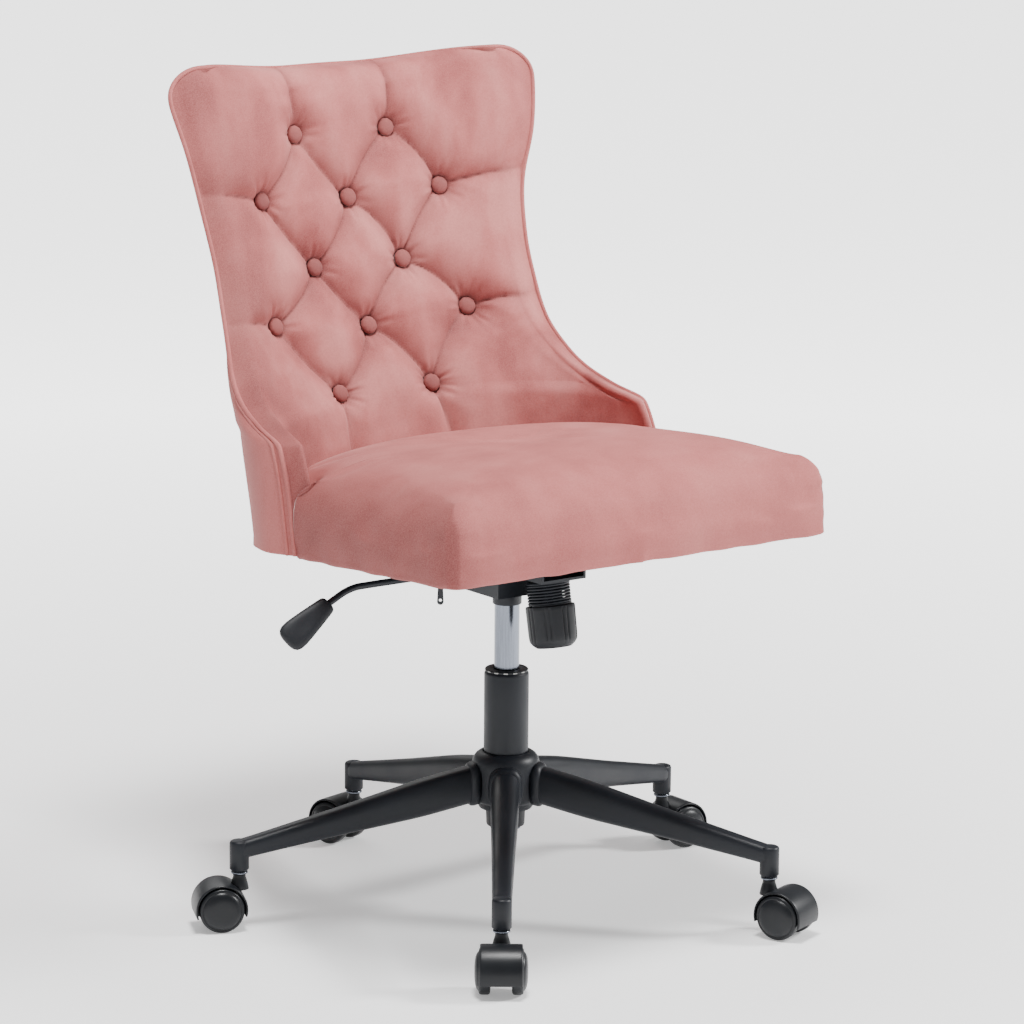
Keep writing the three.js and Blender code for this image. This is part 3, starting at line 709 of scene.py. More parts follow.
def bowed(a, b, bow):
    """Path from a to b bowed sideways by that many millimetres."""
    a, b = np.array(a, float), np.array(b, float)
    direction = (b - a) / np.linalg.norm(b - a)
    normal = np.array([-direction[1], direction[0]])
    shares = np.linspace(0, 1, 7)
    return np.array([lerp(a, b, s) + normal * bow * 4 * s * (1 - s) for s in shares])


def crease_path(i, j):
    """Bowed path of the crease between two buttons."""
    a, b = BUTTONS[i], BUTTONS[j]
    return bowed(a, b, 6.0 * np.sign((a[0] + b[0]) * (b[0] - a[0]) + 1e-6))


def swell(distance, reach):
    """Rounded shoulder of a pillow: 1 in the crease, 0 from the reach on, with a sharp fold in the crease."""
    share = np.clip(distance / reach, 0, 1)
    tight = 1 - np.sqrt(np.maximum(1 - (1 - share)**2, 0))
    return 0.35 * tight + 0.65 * (1 - share)**2


def edge_pleats():
    """Pleats from the outer buttons to the edges: start, end and reach."""
    pleats = []
    for side in (-1, 1):
        pleats.append(((side * 121, 772), (side * 226, 786), 26, side * 3))
        pleats.append(((side * 130, 637), (side * 222, 645), 26, side * 3))
        pleats.append(((side * 62, 841), (side * 66, 940), 30, side * -2))
        pleats.append(((side * 62, 559), (side * 72, 440), 30, side * 2))
    return pleats


def tuft_depth(x, z):
    """How far the tufted face lies behind its swollen surface, in millimetres."""
    points = np.stack([x, z], -1)
    total = np.zeros(x.shape)
    power = 4
    for i, j in crease_links():
        distance, along = polyline_distance(points, crease_path(i, j))
        depth = 18.0 + 6.0 * np.abs(2 * along - 1)**2.5
        total += (depth * swell(distance, PILLOW_REACH))**power
    for start, end, reach, bow in edge_pleats():
        distance, along = polyline_distance(points, bowed(start, end, bow))
        depth = 8.0 + 12.0 * (1 - along)**2
        total += (depth * swell(distance, reach))**power
    for centre in BUTTONS:
        distance = np.linalg.norm(points - np.array(centre), axis=-1)
        total += (TUFT_DEPTH * swell(np.maximum(distance - 7, 0), 36))**power
    return total**(1 / power)


def fold_shade(x, z):
    """Shade of the folds: dark at the bottom of each crease and pit, gone a few millimetres away."""
    points = np.stack([x, z], -1)
    shade = np.zeros(x.shape)
    for i, j in crease_links():
        distance, along = polyline_distance(points, crease_path(i, j))
        strength = 0.80 + 0.2 * np.abs(2 * along - 1)
        shade = np.maximum(shade, strength * np.exp(-distance / 2.8))
        shade = np.maximum(shade, 0.34 * np.exp(-(distance / 13)**2))
    for start, end, _, bow in edge_pleats():
        distance, along = polyline_distance(points, bowed(start, end, bow))
        shade = np.maximum(shade, (0.95 - 0.35 * along) * np.exp(-distance / 2.6))
    for centre in BUTTONS:
        distance = np.linalg.norm(points - np.array(centre), axis=-1)
        shade = np.maximum(shade, 0.85 * np.exp(-np.maximum(distance - BUTTON_RADIUS, 0) / 5.0))
    return shade


def gathers(x, z):
    """Fine folds that run out from each button."""
    total = np.zeros(x.shape)
    for k, (cx, cz) in enumerate(BUTTONS):
        dx, dz = x - cx, z - cz
        distance = np.hypot(dx, dz)
        turn = np.arctan2(dz, dx)
        folds = np.cos(11 * turn + 1.7 * k) + 0.6 * np.cos(17 * turn + 0.9 * k)
        total += folds * np.exp(-((distance - 17) / 9)**2)
    return total


def surface_normals(grid):
    along = np.gradient(grid, axis=0)
    across = np.gradient(grid, axis=1)
    normals = np.cross(across, along)
    return normals / np.maximum(np.linalg.norm(normals, axis=-1), 1e-9)[..., None]


def front_columns(z, count):
    """Front row at height z: the edge face, the rounded corner, the face between, and mirrored."""
    width = EDGE_THICKNESS * top_rounding(z) + 1e-3
    reach = np.minimum(CORNER_REACH, 0.42 * width)
    half = eased(RIM, z)
    t_corner = 1 - reach / (1.15 * half)
    share_corner = 1 - reach / width
    corner = back_point(1.0, z, 1.0)
    start = back_point(t_corner, z, 1.0)
    end = back_point(1.0, z, share_corner)
    face = [back_point(t * t_corner, z, 1.0) for t in np.linspace(0, 1, count)[:-1]]
    bends = [(1 - u)**2 * start + 2 * u * (1 - u) * corner + u * u * end for u in np.linspace(0, 1, 11)]
    sides = [back_point(1.0, z, lerp(share_corner, 0.0, s)) for s in np.linspace(0, 1, 9)[1:]]
    half_row = np.array(face + bends + sides)
    mirrored = half_row[:0:-1] * np.array([-1, 1, 1])
    return np.concatenate([mirrored, half_row])


def drop_to_underside(grid, rows=5):
    """Adds rows below a sheet, down to the seat's underside."""
    first = grid[0]
    floor = underside(first[:, 1])
    added = []
    for share in np.linspace(0, 1, rows + 1)[:-1]:
        row = first.copy()
        row[:, 2] = lerp(floor, first[:, 2], share)
        added.append(row)
    return np.concatenate([np.array(added), grid])


def tufted_grid(spacing, count):
    heights = back_heights(spacing)
    grid = np.array([front_columns(z, count) for z in heights])
    return drop_to_underside(grid)


def pad_swelling(grid, held):
    """How far the pad's cover moves when it is blown up as cloth between its creases, in millimetres."""
    coarse = grid[::2, ::2]
    obj = face_forward(grid_object("pad_cloth", coarse))
    moved = blown_up(obj, held[::2, ::2].ravel(), 6.0).reshape(coarse.shape)
    rows = np.minimum(np.arange(grid.shape[0]) / 2, coarse.shape[0] - 1)
    columns = np.minimum(np.arange(grid.shape[1]) / 2, coarse.shape[1] - 1)
    low_row, low_column = rows.astype(int), columns.astype(int)
    next_row = np.minimum(low_row + 1, coarse.shape[0] - 1)
    next_column = np.minimum(low_column + 1, coarse.shape[1] - 1)
    down = (rows - low_row)[:, None, None]
    along = (columns - low_column)[None, :, None]
    upper = lerp(moved[low_row][:, low_column], moved[low_row][:, next_column], along)
    lower = lerp(moved[next_row][:, low_column], moved[next_row][:, next_column], along)
    return lerp(upper, lower, down)


def make_tufting():
    """The pad's front, wrapped round its edges: pillows, creases, pleats and gathers, with a soft edge."""
    grid = tufted_grid(2.6, 116)
    normals = surface_normals(grid)
    x, z = grid[..., 0], grid[..., 2]
    columns = grid.shape[1]
    middle = (columns - 1) / 2
    from_edge = (columns - 1) / 2 - np.abs(np.arange(columns) - middle)
    on_face = smooth(from_edge, 6, 40)[None, :]
    depth = tuft_depth(x, z) * lerp(0.35, 1.0, on_face)
    proud = 8.0 * on_face + 2.0 * smooth(from_edge, 0, 12)[None, :] * (1 - on_face)
    rise = np.clip((z - 440) / 60, 0, 1) * np.clip((BACK_TOP - z) / 14, 0, 1)
    fine = gathers(x, z) * 0.8 * on_face
    uneven = wobble(grid, 90, 3) * 1.0 * on_face + wobble(grid, 30, 5) * 0.35 * on_face
    shift = (-depth * lerp(0.75, 1.0, rise) + proud) * lerp(0.6, 1.0, rise) + fine + uneven
    shift = shift * np.clip(from_edge / 3, 0, 1)[None, :]
    shift = shift * np.clip((BACK_TOP + 2 - z) / 8, 0, 1)
    moved = grid + normals * facing(normals, grid) * shift[..., None]
    # Painted shade, mottled: darker on the -X wing, on its side away from the key light.
    nap_and_wing_shade = smooth(-x, 95, 190) * (0.47 + 0.22 * wobble(grid, 80, 33))
    # Painted shade, mottled: darker low on the back, where it meets the seat.
    low_back_shade = smooth(-z, -640, -470) * (0.14 + 0.12 * wobble(grid, 60, 35))
    # Painted shade in the creases, pleats and button pits.
    crease_shade = fold_shade(x, z) * smooth(from_edge, 2, 12)[None, :]
    held = (crease_shade > 0.38) | (from_edge < 5)[None, :]
    held[:8] = held[-18:] = True
    moved = moved + pad_swelling(moved, held)
    obj = paint_shade(grid_object("back_tufting", dipped(moved)), np.maximum(crease_shade, nap_and_wing_shade + low_back_shade))
    face_forward(obj)
    return piece(obj, "tilt", MATERIALS["tufted"], "velvet", "back_pad")


def facing(normals, grid):
    """Sign that makes the normals point out of the back, away from its middle surface."""
    middle = back_point(0.0, grid[grid.shape[0] // 2, grid.shape[1] // 2, 2], 0.5)
    centre = grid[grid.shape[0] // 2, grid.shape[1] // 2]
    direction = normals[grid.shape[0] // 2, grid.shape[1] // 2]
    return 1.0 if direction @ (centre - middle) > 0 else -1.0


def face_forward(obj):
    """Flips a sheet whose faces, summed over its area, look rearwards (+Y)."""
    total = Vector((0.0, 0.0, 0.0))
    for polygon in obj.data.polygons:
        total += polygon.normal * polygon.area
    if total.y > 0:
        obj.data.flip_normals()
    return obj


def make_rear_cover():
    """Outer cover: smooth and taut over the frame, slightly hollow above the seat, with a turned hem."""
    heights = back_heights(5.0)
    t = np.linspace(-1, 1, 150)
    grid = np.array([back_point(t, z, 0.0) for z in heights])
    grid = drop_to_underside(grid)
    normals = surface_normals(grid)
    centre_row = grid.shape[0] // 2
    sign = 1.0 if normals[centre_row, 75, 1] > 0 else -1.0
    from_edge = np.clip(np.minimum(t + 1, 1 - t) / 0.12, 0, 1)[None, :]
    rise = np.clip((BACK_TOP - grid[..., 2]) / 25, 0, 1)
    puff = 2.5 * from_edge * rise
    uneven = wobble(grid, 160, 11) * 0.9 * from_edge * rise
    low = np.clip((470 - grid[..., 2]) / 50, 0, 1)
    across = np.arctan2(grid[..., 0], grid[..., 1])
    tucks = np.sin(across * 34) * 0.5 * low
    moved = grid + normals * sign * (puff + uneven + tucks)[..., None]
    hem = turned_hem(moved[0], 14.0)
    moved = dipped(np.concatenate([hem, moved]))
    obj = grid_object("back_wrap", moved)
    total = sum((p.normal * p.area for p in obj.data.polygons), Vector())
    if total.y < 0:
        obj.data.flip_normals()
    modified(obj, "SOLIDIFY", thickness=1.2 * MM, offset=-1)
    width, length, area = developed(dipped(np.concatenate([hem, grid])))
    return piece(obj, "tilt", MATERIALS["rear"], "velvet", "back_cover")


def turned_hem(row, width):
    """Rows that curl under the lower edge and run inwards."""
    centre = np.array([0.0, 60.0, 0.0])
    inward = centre - row
    inward[:, 2] = 0
    inward /= np.linalg.norm(inward, axis=1)[:, None]
    rows = []
    for distance, drop in ((width, 1.2), (width * 0.5, -0.6), (4.0, -1.4), (1.2, -0.8)):
        shifted = row + inward * distance
        shifted[:, 2] += drop
        rows.append(shifted)
    return np.array(rows)


def rim_path(share, inset_t=0.0, step=3.5):
    """Path up one edge of the back, over the top and down the other, from the seat's underside."""
    heights = back_heights(step)
    left = back_point(-1.0 + inset_t, heights, share)
    foot = left[0].copy()
    foot[2] = underside(foot[1])
    across = np.linspace(-1 + inset_t, 1 - inset_t, 120)[1:-1]
    top = back_point(across, BACK_TOP, share)
    right = left[::-1] * np.array([-1, 1, 1])
    right_foot = foot * np.array([-1, 1, 1])
    lower = [lerp(foot, left[0], s) for s in (0, 0.33, 0.66)]
    right_lower = [lerp(right_foot, right[-1], s) for s in (0.66, 0.33, 0)]
    return np.concatenate([lower, left, top, right, right_lower])


def make_welts():
    """Two corded welts along the outer edge, sewn between the pad's wrap and the outer cover."""
    first = rim_path(0.0)
    first = first + outward_of_rim(first, 1.0)
    made = [tube_object("back_welt", soften_path(dipped(first)), 2.5, 10)]
    second = rim_path(0.0, inset_t=0.035)
    second = dipped(second + outward_of_rim(second, 1.6))
    made.append(tube_object("back_welt_inner", soften_path(second), 1.7, 8))
    return piece(joined("back_welt", made), "tilt", MATERIALS["welt"], "velvet")


def soften_path(path):
    """Evens out a path, leaving its ends."""
    for _ in range(3):
        inner = (path[:-2] + 2 * path[1:-1] + path[2:]) / 4
        path = np.concatenate([path[:1], inner, path[-1:]])
    return path


def outward_of_rim(path, distance):
    """Small step away from the back's middle, for a cord that lies on the edge."""
    middle = np.array([0.0, 180.0, 640.0])
    away = path - middle
    away[:, 2] *= 0.35
    return away / np.linalg.norm(away, axis=1)[:, None] * distance


# ---- tuft buttons ----
def tuft_frame(x, z):
    """Bottom of a tuft's pit and the direction it faces."""
    sweep = math.radians(float(eased(SWEEP, z)))
    width = float(eased(RIM, z)) - EDGE_THICKNESS * math.cos(math.radians(float(eased(EDGE_TURN, z))))
    t = math.asin(x * math.sin(sweep) / width) / sweep
    centre = back_point(t, z, 1.0)
    across = back_point(t + 0.02, z, 1.0) - back_point(t - 0.02, z, 1.0)
    up = back_point(t, z + 4, 1.0) - back_point(t, z - 4, 1.0)
    direction = np.cross(across, up)
    direction /= np.linalg.norm(direction)
    return centre - direction * (TUFT_DEPTH - 8.5), direction


def make_button(index, x, z):
    """Covered button: a velvet dome drawn over a shell, tucked in under its rim, slightly puckered."""
    profile = [(0.3, 0.0), (BUTTON_RADIUS * 0.8, 0.2), (BUTTON_RADIUS, 2.0), (BUTTON_RADIUS, 3.4),
               (BUTTON_RADIUS * 0.93, 4.9), (BUTTON_RADIUS * 0.76, 6.2), (BUTTON_RADIUS * 0.5, 7.0),
               (BUTTON_RADIUS * 0.25, 7.35), (0.3, 7.45)]
    segments = 40
    rings = []
    for radius, height in profile:
        turns = np.linspace(0, 2 * math.pi, segments, endpoint=False)
        pucker = 1 + 0.018 * np.cos(9 * turns + index) * (radius / BUTTON_RADIUS)
        rings.append(np.stack([radius * pucker * np.cos(turns), radius * pucker * np.sin(turns),
                               np.full(segments, height)], -1))
    obj = loft_object(f"velvet_button_{index + 1:02d}", rings, placed=False)
    origin, direction = tuft_frame(x, z)
    turn = Vector(direction).to_track_quat("Z", "Y").to_matrix().to_4x4()
    obj.data.transform(Matrix.Translation(Vector(place(origin))) @ turn)
    return piece(obj, "tilt", MATERIALS["button"], "velvet_button", f"tuft_button_{index + 1:02d}")


# ---- the seat, in its own pitched frame ----
def from_seat_frame(points):
    """From the seat's own frame, its underside at zero, to the chair's."""
    turn = math.radians(SEAT_PITCH)
    points = np.asarray(points, float)
    y = points[..., 1] * math.cos(turn) + points[..., 2] * math.sin(turn)
    z = -points[..., 1] * math.sin(turn) + points[..., 2] * math.cos(turn) + SEAT_Z
    return np.stack([points[..., 0], y, z], -1)


def seat_outline(spacing):
    """Seat's plan: square front corners, notches at the arms and a round rear, resampled evenly."""
    half = SEAT_HALF_WIDTH
    corner = SEAT_CORNER
    side = [(x, SEAT_FRONT) for x in np.linspace(0, half - corner, 40)]
    for turn in np.radians(np.linspace(0, 90, 8)[1:]):
        side.append((half - corner * (1 - math.sin(turn)), SEAT_FRONT + corner * (1 - math.cos(turn))))
    side += [(half, y) for y in np.linspace(SEAT_FRONT + corner, SEAT_SIDE_END, 50)[1:]]
    side += [(lerp(half, 234, s), lerp(SEAT_SIDE_END, SEAT_SIDE_END - 18, s)) for s in (0.35, 0.7, 1.0)]
    t = np.linspace(1, 0, 50)
    rear_x, rear_y = plan_curve(233, 40, 186, math.radians(100), t)
    side += list(zip(rear_x, rear_y))
    side = np.array(side)
    loop = np.concatenate([side, side[-2:0:-1] * np.array([-1, 1])])
    closed = np.vstack([loop, loop[:1]])
    travel = np.concatenate([[0], np.cumsum(np.linalg.norm(np.diff(closed, axis=0), axis=1))])
    count = int(travel[-1] / spacing) // 2 * 2
    places = np.linspace(0, travel[-1], count, endpoint=False)
    return np.stack([np.interp(places, travel, closed[:, k]) for k in (0, 1)], -1)


def outline_normals(outline):
    tangent = np.roll(outline, -1, 0) - np.roll(outline, 1, 0)
    normal = np.stack([tangent[:, 1], -tangent[:, 0]], -1)
    for _ in range(4):
        normal = (np.roll(normal, 1, 0) + 2 * normal + np.roll(normal, -1, 0)) / 4
    return normal / np.linalg.norm(normal, axis=1)[:, None]


def membrane(outline, reach, cell=5.0):
    """Relaxed sheet over a plan, 0 at its outline and 1 well inside, as a lookup of x and y."""
    half, front, rear = SEAT_HALF_WIDTH + 10, SEAT_FRONT - 10, 200
    xs = np.arange(-half, half + cell, cell)
    ys = np.arange(front, rear + cell, cell)
    x, y = np.meshgrid(xs, ys, indexing="ij")
    inside = np.zeros(x.shape, bool)
    for a, b in zip(outline, np.roll(outline, -1, 0)):
        crosses = (a[1] > y) != (b[1] > y)
        with np.errstate(divide="ignore", invalid="ignore"):
            at = (b[0] - a[0]) * (y - a[1]) / (b[1] - a[1]) + a[0]
        inside ^= crosses & (x < at)
    sheet = inside.astype(float)
    pull = (cell / reach)**2
    for _ in range(900):
        around = (np.roll(sheet, 1, 0) + np.roll(sheet, -1, 0) + np.roll(sheet, 1, 1) + np.roll(sheet, -1, 1))
        sheet = np.where(inside, (around + pull) / (4 + pull), 0.0)

    def height(px, py):
        u = np.clip((px - xs[0]) / cell, 0, len(xs) - 1.001)
        v = np.clip((py - ys[0]) / cell, 0, len(ys) - 1.001)
        i, j = u.astype(int), v.astype(int)
        u, v = u - i, v - j
        return ((1 - u) * (1 - v) * sheet[i, j] + u * (1 - v) * sheet[i + 1, j]
                + (1 - u) * v * sheet[i, j + 1] + u * v * sheet[i + 1, j + 1])

    return height


def seat_grid(spacing):
    """Rings from the turned hem, up the sides, over the rounded edge and in to the middle of the top."""
    outline = seat_outline(spacing)
    normal = outline_normals(outline)
    corner_near = np.exp(-((np.hypot(np.abs(outline[:, 0]) - SEAT_HALF_WIDTH,
                                     outline[:, 1] - SEAT_FRONT)) / 40)**2)
    rings = []

    def ring(inset, height):
        inset = np.broadcast_to(inset, len(outline))
        flat = outline - normal * inset[:, None]
        for _ in range(int(0.11 * max(inset.max(), 0)**2)):
            flat = (np.roll(flat, 1, 0) + 2 * flat + np.roll(flat, -1, 0)) / 4
        rings.append(np.column_stack([flat, np.broadcast_to(height, len(flat))]))

    for inset, height in ((24, -0.7), (15, -1.6), (8, -3.4), (3, -3.6), (0.8, -1.8)):
        ring(inset, height)
    side_top = SEAT_EDGE_HEIGHT - SEAT_ROUND
    for height in np.linspace(1, side_top, 23):
        bulge = 3.0 * math.sin(math.pi * max(height, 0) / (side_top + 18))
        ring(-bulge * (1 - 0.7 * corner_near), height)
    for turn in np.radians(np.linspace(0, 70, 15)[1:]):
        inset = SEAT_ROUND * (1 - math.cos(turn)) - 1.6 * math.cos(turn)
        ring(inset, side_top + (SEAT_ROUND - 1.0) * math.sin(turn))
    base = rings[-1]
    pole = np.array([0.0, -40.0])
    crown = membrane(base[:, :2], 48.0)
    rise = SEAT_CROWN - base[0, 2]
    for share in 1 - np.linspace(0, 1, SEAT_TOP_RINGS + 1)[1:-1]:
        flat = pole + (base[:, :2] - pole) * share
        rings.append(np.column_stack([flat, base[:, 2] + rise * crown(flat[:, 0], flat[:, 1])]))
    return np.array(rings)


def seat_detail(grid):
    """Corner seams, pulled folds beside them, gathers along the lower edge and soft unevenness."""
    x, y, z = grid[..., 0], grid[..., 1], grid[..., 2]
    centre = np.array([0.0, -30.0])
    out = grid[..., :2] - centre
    out = out / np.maximum(np.linalg.norm(out, axis=-1), 1e-6)[..., None]
    perimeter = np.arange(grid.shape[1])[None, :] * 0.9
    low = np.exp(-np.maximum(z - 2, 0) / 16)
    gathers_low = (np.sin(perimeter * 0.42) + 0.7 * np.sin(perimeter * 0.27 + 1.3)
                   + 0.5 * np.sin(perimeter * 0.61 + 0.4)) * 0.55 * low
    seams = np.zeros(x.shape)
    pulled = np.zeros(x.shape)
    for side in (-1, 1):
        gap = np.hypot(x - side * (SEAT_HALF_WIDTH - 2), y - (SEAT_FRONT + 2))
        on_side = np.clip((SEAT_EDGE_HEIGHT - 14 - z) / 10, 0, 1) * np.clip((z + 1) / 3, 0, 1)
        seams += 3.2 * np.exp(-(gap / 4.2)**2) * on_side
        pulled += np.sin(z * 0.33 + gap * 0.12 + side) * np.exp(-gap / 30) * on_side * 0.3
    shade = 0.26 * seams
    shift = -seams + pulled - gathers_low * 0.8
    moved = grid.copy()
    moved[..., :2] += out * shift[..., None]
    moved[..., 2] += wobble(grid, 120, 21) * 0.9 * np.clip((z - 70) / 20, 0, 1)
    moved[..., 2] += gathers_low * 0.5
    return moved, shade


def closed_top(name, rings):
    """Sheet of wrapped rings closed by one point in the middle of the top and left open beneath."""
    rows, columns = rings.shape[:2]
    points = np.vstack([rings.reshape(-1, 3), rings[-1].mean(axis=0)[None, :]])
    faces = grid_faces(rows, columns, wrap=True)
    last = (rows - 1) * columns
    pole = len(points) - 1
    faces += [(last + c, last + (c + 1) % columns, pole) for c in range(columns)]
    return new_object(name, place(points), faces)


def seat_swelling(columns):
    """How far the seat's cover moves when it is blown up as cloth, held along its hem, in millimetres."""
    grid = seat_grid(13.0)
    rings, coarse = grid.shape[:2]
    obj = closed_top("cushion_cloth", from_seat_frame(grid))
    held = np.ones(rings * coarse + 1, bool)
    held[7 * coarse:(rings - 5) * coarse] = False
    moved = blown_up(obj, held, 4.0)[:-1].reshape(rings, coarse, 3)
    spots = np.arange(columns) / columns * coarse
    whole = spots.astype(int)
    share = (spots - whole)[None, :, None]
    return lerp(moved[:, whole % coarse], moved[:, (whole + 1) % coarse], share)


def make_seat():
    """Seat cover: shaped, blown up as cloth, then seamed and gathered."""
    grid = seat_grid(3.5)
    swelling = seat_swelling(grid.shape[1])
    grid, seam_shade = seat_detail(grid)
    obj = closed_top("seat_upholstery", from_seat_frame(grid) + swelling)
    if sum((p.normal.z * p.area for p in obj.data.polygons)) < 0:
        obj.data.flip_normals()
    # Painted shade: darker on the seat's -X side, away from the key light, with a mottle for its crushed
    # pile, rising across the seat towards that side, and in the corner seams.
    side = np.clip((-grid[..., 0] - SEAT_HALF_WIDTH + 40) / 40, 0, 1)
    mottled = 0.5 + 0.5 * wobble(grid, 38, 31)
    shade_towards_side = np.clip((-grid[..., 0] - 20) / 170, 0, 1) * 0.16
    painted_shade_marks = np.maximum(side * (0.40 + 0.18 * mottled) + shade_towards_side, seam_shade)
    paint_shade(obj, np.append(painted_shade_marks.ravel(), 0.0))
    return piece(obj, "tilt", MATERIALS["seat"], "velvet", "seat_cushion")


# ---- small trim on the upholstery ----
def make_dust_cover():
    """Black cloth stapled over the underside, sagging a little, and cut back round the zip pull."""
    outline = seat_outline(6.0)
    normal = outline_normals(outline)
    inner = outline - normal * DUST_CLOTH_INSET
    side = SEAT_HALF_WIDTH - DUST_CLOTH_INSET
    notch = ZIP_NOTCH * np.exp(-((inner[:, 1] - ZIP_Y) / ZIP_NOTCH_REACH)**2)
    inner[:, 0] = np.clip(inner[:, 0], notch - side, side)
    pole = np.array([0.0, -30.0])
    rings = []
    for share in np.linspace(1, 0.03, 26):
        flat = pole + (inner - pole) * share
        sag = 0.3 * (1 - share**3)
        ripple = 0.15 * np.sin(np.arange(len(flat)) * 0.9) * share**6
        rings.append(np.column_stack([flat, -0.8 - sag - ripple]))
    obj = closed_top("underside_cloth", from_seat_frame(np.array(rings)))
    total = sum(p.normal.z * p.area for p in obj.data.polygons)
    if total > 0:
        obj.data.flip_normals()
    modified(obj, "SOLIDIFY", thickness=0.6 * MM, offset=1)
    return piece(obj, "tilt", MATERIALS["lining"], "lining", "dust_cover")


def make_clip_edge():
    """Row of staples that hold the dust cloth."""
    outline = seat_outline(42.0)
    normal = outline_normals(outline)
    made = []
    for spot, out in zip(outline, normal):
        centre = np.array([*(spot - out * STAPLE_INSET), -1.3])
        along = np.array([-out[1], out[0], 0.0]) * 5
        path = [centre - along + (0, 0, 1.6), centre - along, centre + along, centre + along + (0, 0, 1.6)]
        made.append(tube_object("staple", from_seat_frame(np.array(path)), 0.45, 6))
    return piece(joined("cover_staples", made), "tilt", MATERIALS["steel"], "bright_steel")


# ---- gas lift and column ----
def make_column():
    """Drawn tube: straight and satin, rolled in at its top and necked where it enters the hub."""
    profile = [
        (TUBE_FOOT_RADIUS - 2, TUBE_BOTTOM), (TUBE_FOOT_RADIUS - 0.6, TUBE_BOTTOM + 0.6),
        (TUBE_FOOT_RADIUS, TUBE_BOTTOM + 2.5), (TUBE_FOOT_RADIUS + 0.7, 116), (TUBE_RADIUS - 0.6, 176),
        (TUBE_RADIUS, 184), (TUBE_RADIUS, 230), (TUBE_RADIUS, TUBE_TOP - 3.2),
        (TUBE_RADIUS - 0.5, TUBE_TOP - 1.2), (TUBE_RADIUS - 1.6, TUBE_TOP), (23.0, TUBE_TOP),
        (22.8, TUBE_TOP - 2), (22.8, 200), (18, 190), (18, TUBE_BOTTOM), (TUBE_FOOT_RADIUS - 2, TUBE_BOTTOM),
    ]
    obj = turned_object("column_shell", profile, 96, sharp=40)
    return piece(obj, "base", MATERIALS["black"], "black_metal", "column_tube")


def make_guide_ring():
    """Guide bush at the tube's mouth: a black flange with lighter notches round it."""
    flange = turned_object("guide_flange", [
        (14.5, TUBE_TOP - 8), (22.5, TUBE_TOP - 8), (22.5, TUBE_TOP + 0.2), (24.1, TUBE_TOP + 0.4),
        (24.1, TUBE_TOP + 2.2), (23.4, TUBE_TOP + 3.0), (19.5, TUBE_TOP + 3.4), (15.4, TUBE_TOP + 3.0),
        (14.5, TUBE_TOP + 2.2), (14.5, TUBE_TOP - 8),
    ], 80, sharp=40)
    piece(flange, "base", MATERIALS["plastic"], "guide_plastic", "column_bush")
    notches = []
    for k in range(14):
        turn = 2 * math.pi * k / 14
        rings = []
        for radius in (21.6, 24.35):
            ring = []
            for spread, height in ((-2.4, 0.8), (2.4, 0.8), (2.4, 2.2), (-2.4, 2.2)):
                x = radius * math.cos(turn) - spread * math.sin(turn)
                y = radius * math.sin(turn) + spread * math.cos(turn)
                ring.append((x, y, TUBE_TOP + height))
            rings.append(ring)
        notches.append(softened(loft_object("notch", rings), 0.35, 2))
    return piece(joined("guide_notches", notches), "base", MATERIALS["guide"], "guide_plastic")


def make_cylinder():
    """Bright gas cylinder with a ground taper."""
    shaft = turned_object("cylinder_shaft", [
        (2.0, 176), (CYLINDER_RADIUS - 1.2, 176), (CYLINDER_RADIUS - 0.2, 177), (CYLINDER_RADIUS, 178.5),
        (CYLINDER_RADIUS, 260), (CYLINDER_RADIUS, 346), (CYLINDER_RADIUS, 352), (CYLINDER_RADIUS - 0.8, 372),
        (CYLINDER_RADIUS - 1.1, CYLINDER_TOP - 1), (CYLINDER_RADIUS - 2, CYLINDER_TOP), (2.0, CYLINDER_TOP),
    ], 96, sharp=40)
    return piece(shaft, "lift", MATERIALS["steel"], "bright_steel", "gas_cylinder")


def make_collar():
    """Pressed cup under the mechanism that the cylinder's taper sits in."""
    collar = turned_object("socket_collar", [
        (14.25, 347.8), (15.8, 347.8), (16.2, 348.4), (16.2, 358.8), (18.3, 360.2), (18.5, 361),
        (18.5, 367.5), (14.4, 367.5), (14.25, 347.8),
    ], 72, sharp=40)
    return piece(collar, "lift", MATERIALS["black"], "black_metal")


def make_piston_clip():
    """Spring clip and washer that hold the piston's foot under the tube."""
    washer = turned_object("foot_washer", [
        (5.2, 90.6), (16.5, 90.6), (17, 91), (17, 92.4), (16.5, 92.8), (5.2, 92.8), (5.2, 90.6),
    ], 48)
    turns = np.radians(np.linspace(35, 325, 30))
    path = [(6.6 * math.cos(a), 6.6 * math.sin(a), 89.9) for a in turns]
    path = [(13.0, 4.2, 89.9)] + path + [(13.0, -4.2, 89.9)]
    clip = tube_object("clip", path, 0.8, 8)
    return piece(joined("piston_clip", [washer, clip]), "base", MATERIALS["steel"], "bright_steel")


# ---- mechanism ----
def bolt_axis():
    lean = math.radians(BOLT_LEAN)
    return np.array([0.0, -math.sin(lean), -math.cos(lean)])


def bolt_basis():
    axis = bolt_axis()
    side = np.array([1.0, 0.0, 0.0])
    return axis, side, np.cross(axis, side)


def make_spring():
    """Tension spring: round wire wound close at both ends, built in one shape, though in the chair it is
    squeezed as the seat tilts.
    """
    axis, side, across = bolt_basis()
    origin = np.array(BOLT_TOP, float)
    steps = 420
    shares = np.linspace(0, 1, steps)
    pitch = np.interp(shares, (0, 0.11, 0.89, 1), (0, 0.06, 0.94, 1))
    turns = shares * SPRING_COILS * 2 * math.pi
    reach = 3.2 + pitch * (SPRING_LENGTH - 3.4)
    path = (origin + np.outer(reach, axis) + SPRING_RADIUS * np.outer(np.cos(turns), side)
            + SPRING_RADIUS * np.outer(np.sin(turns), across))
    obj = tube_object("spring_coils", path, SPRING_WIRE, 12)
    piece(obj, "lift", MATERIALS["black"], "black_metal", "tension_spring")
    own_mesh(obj)
    return obj


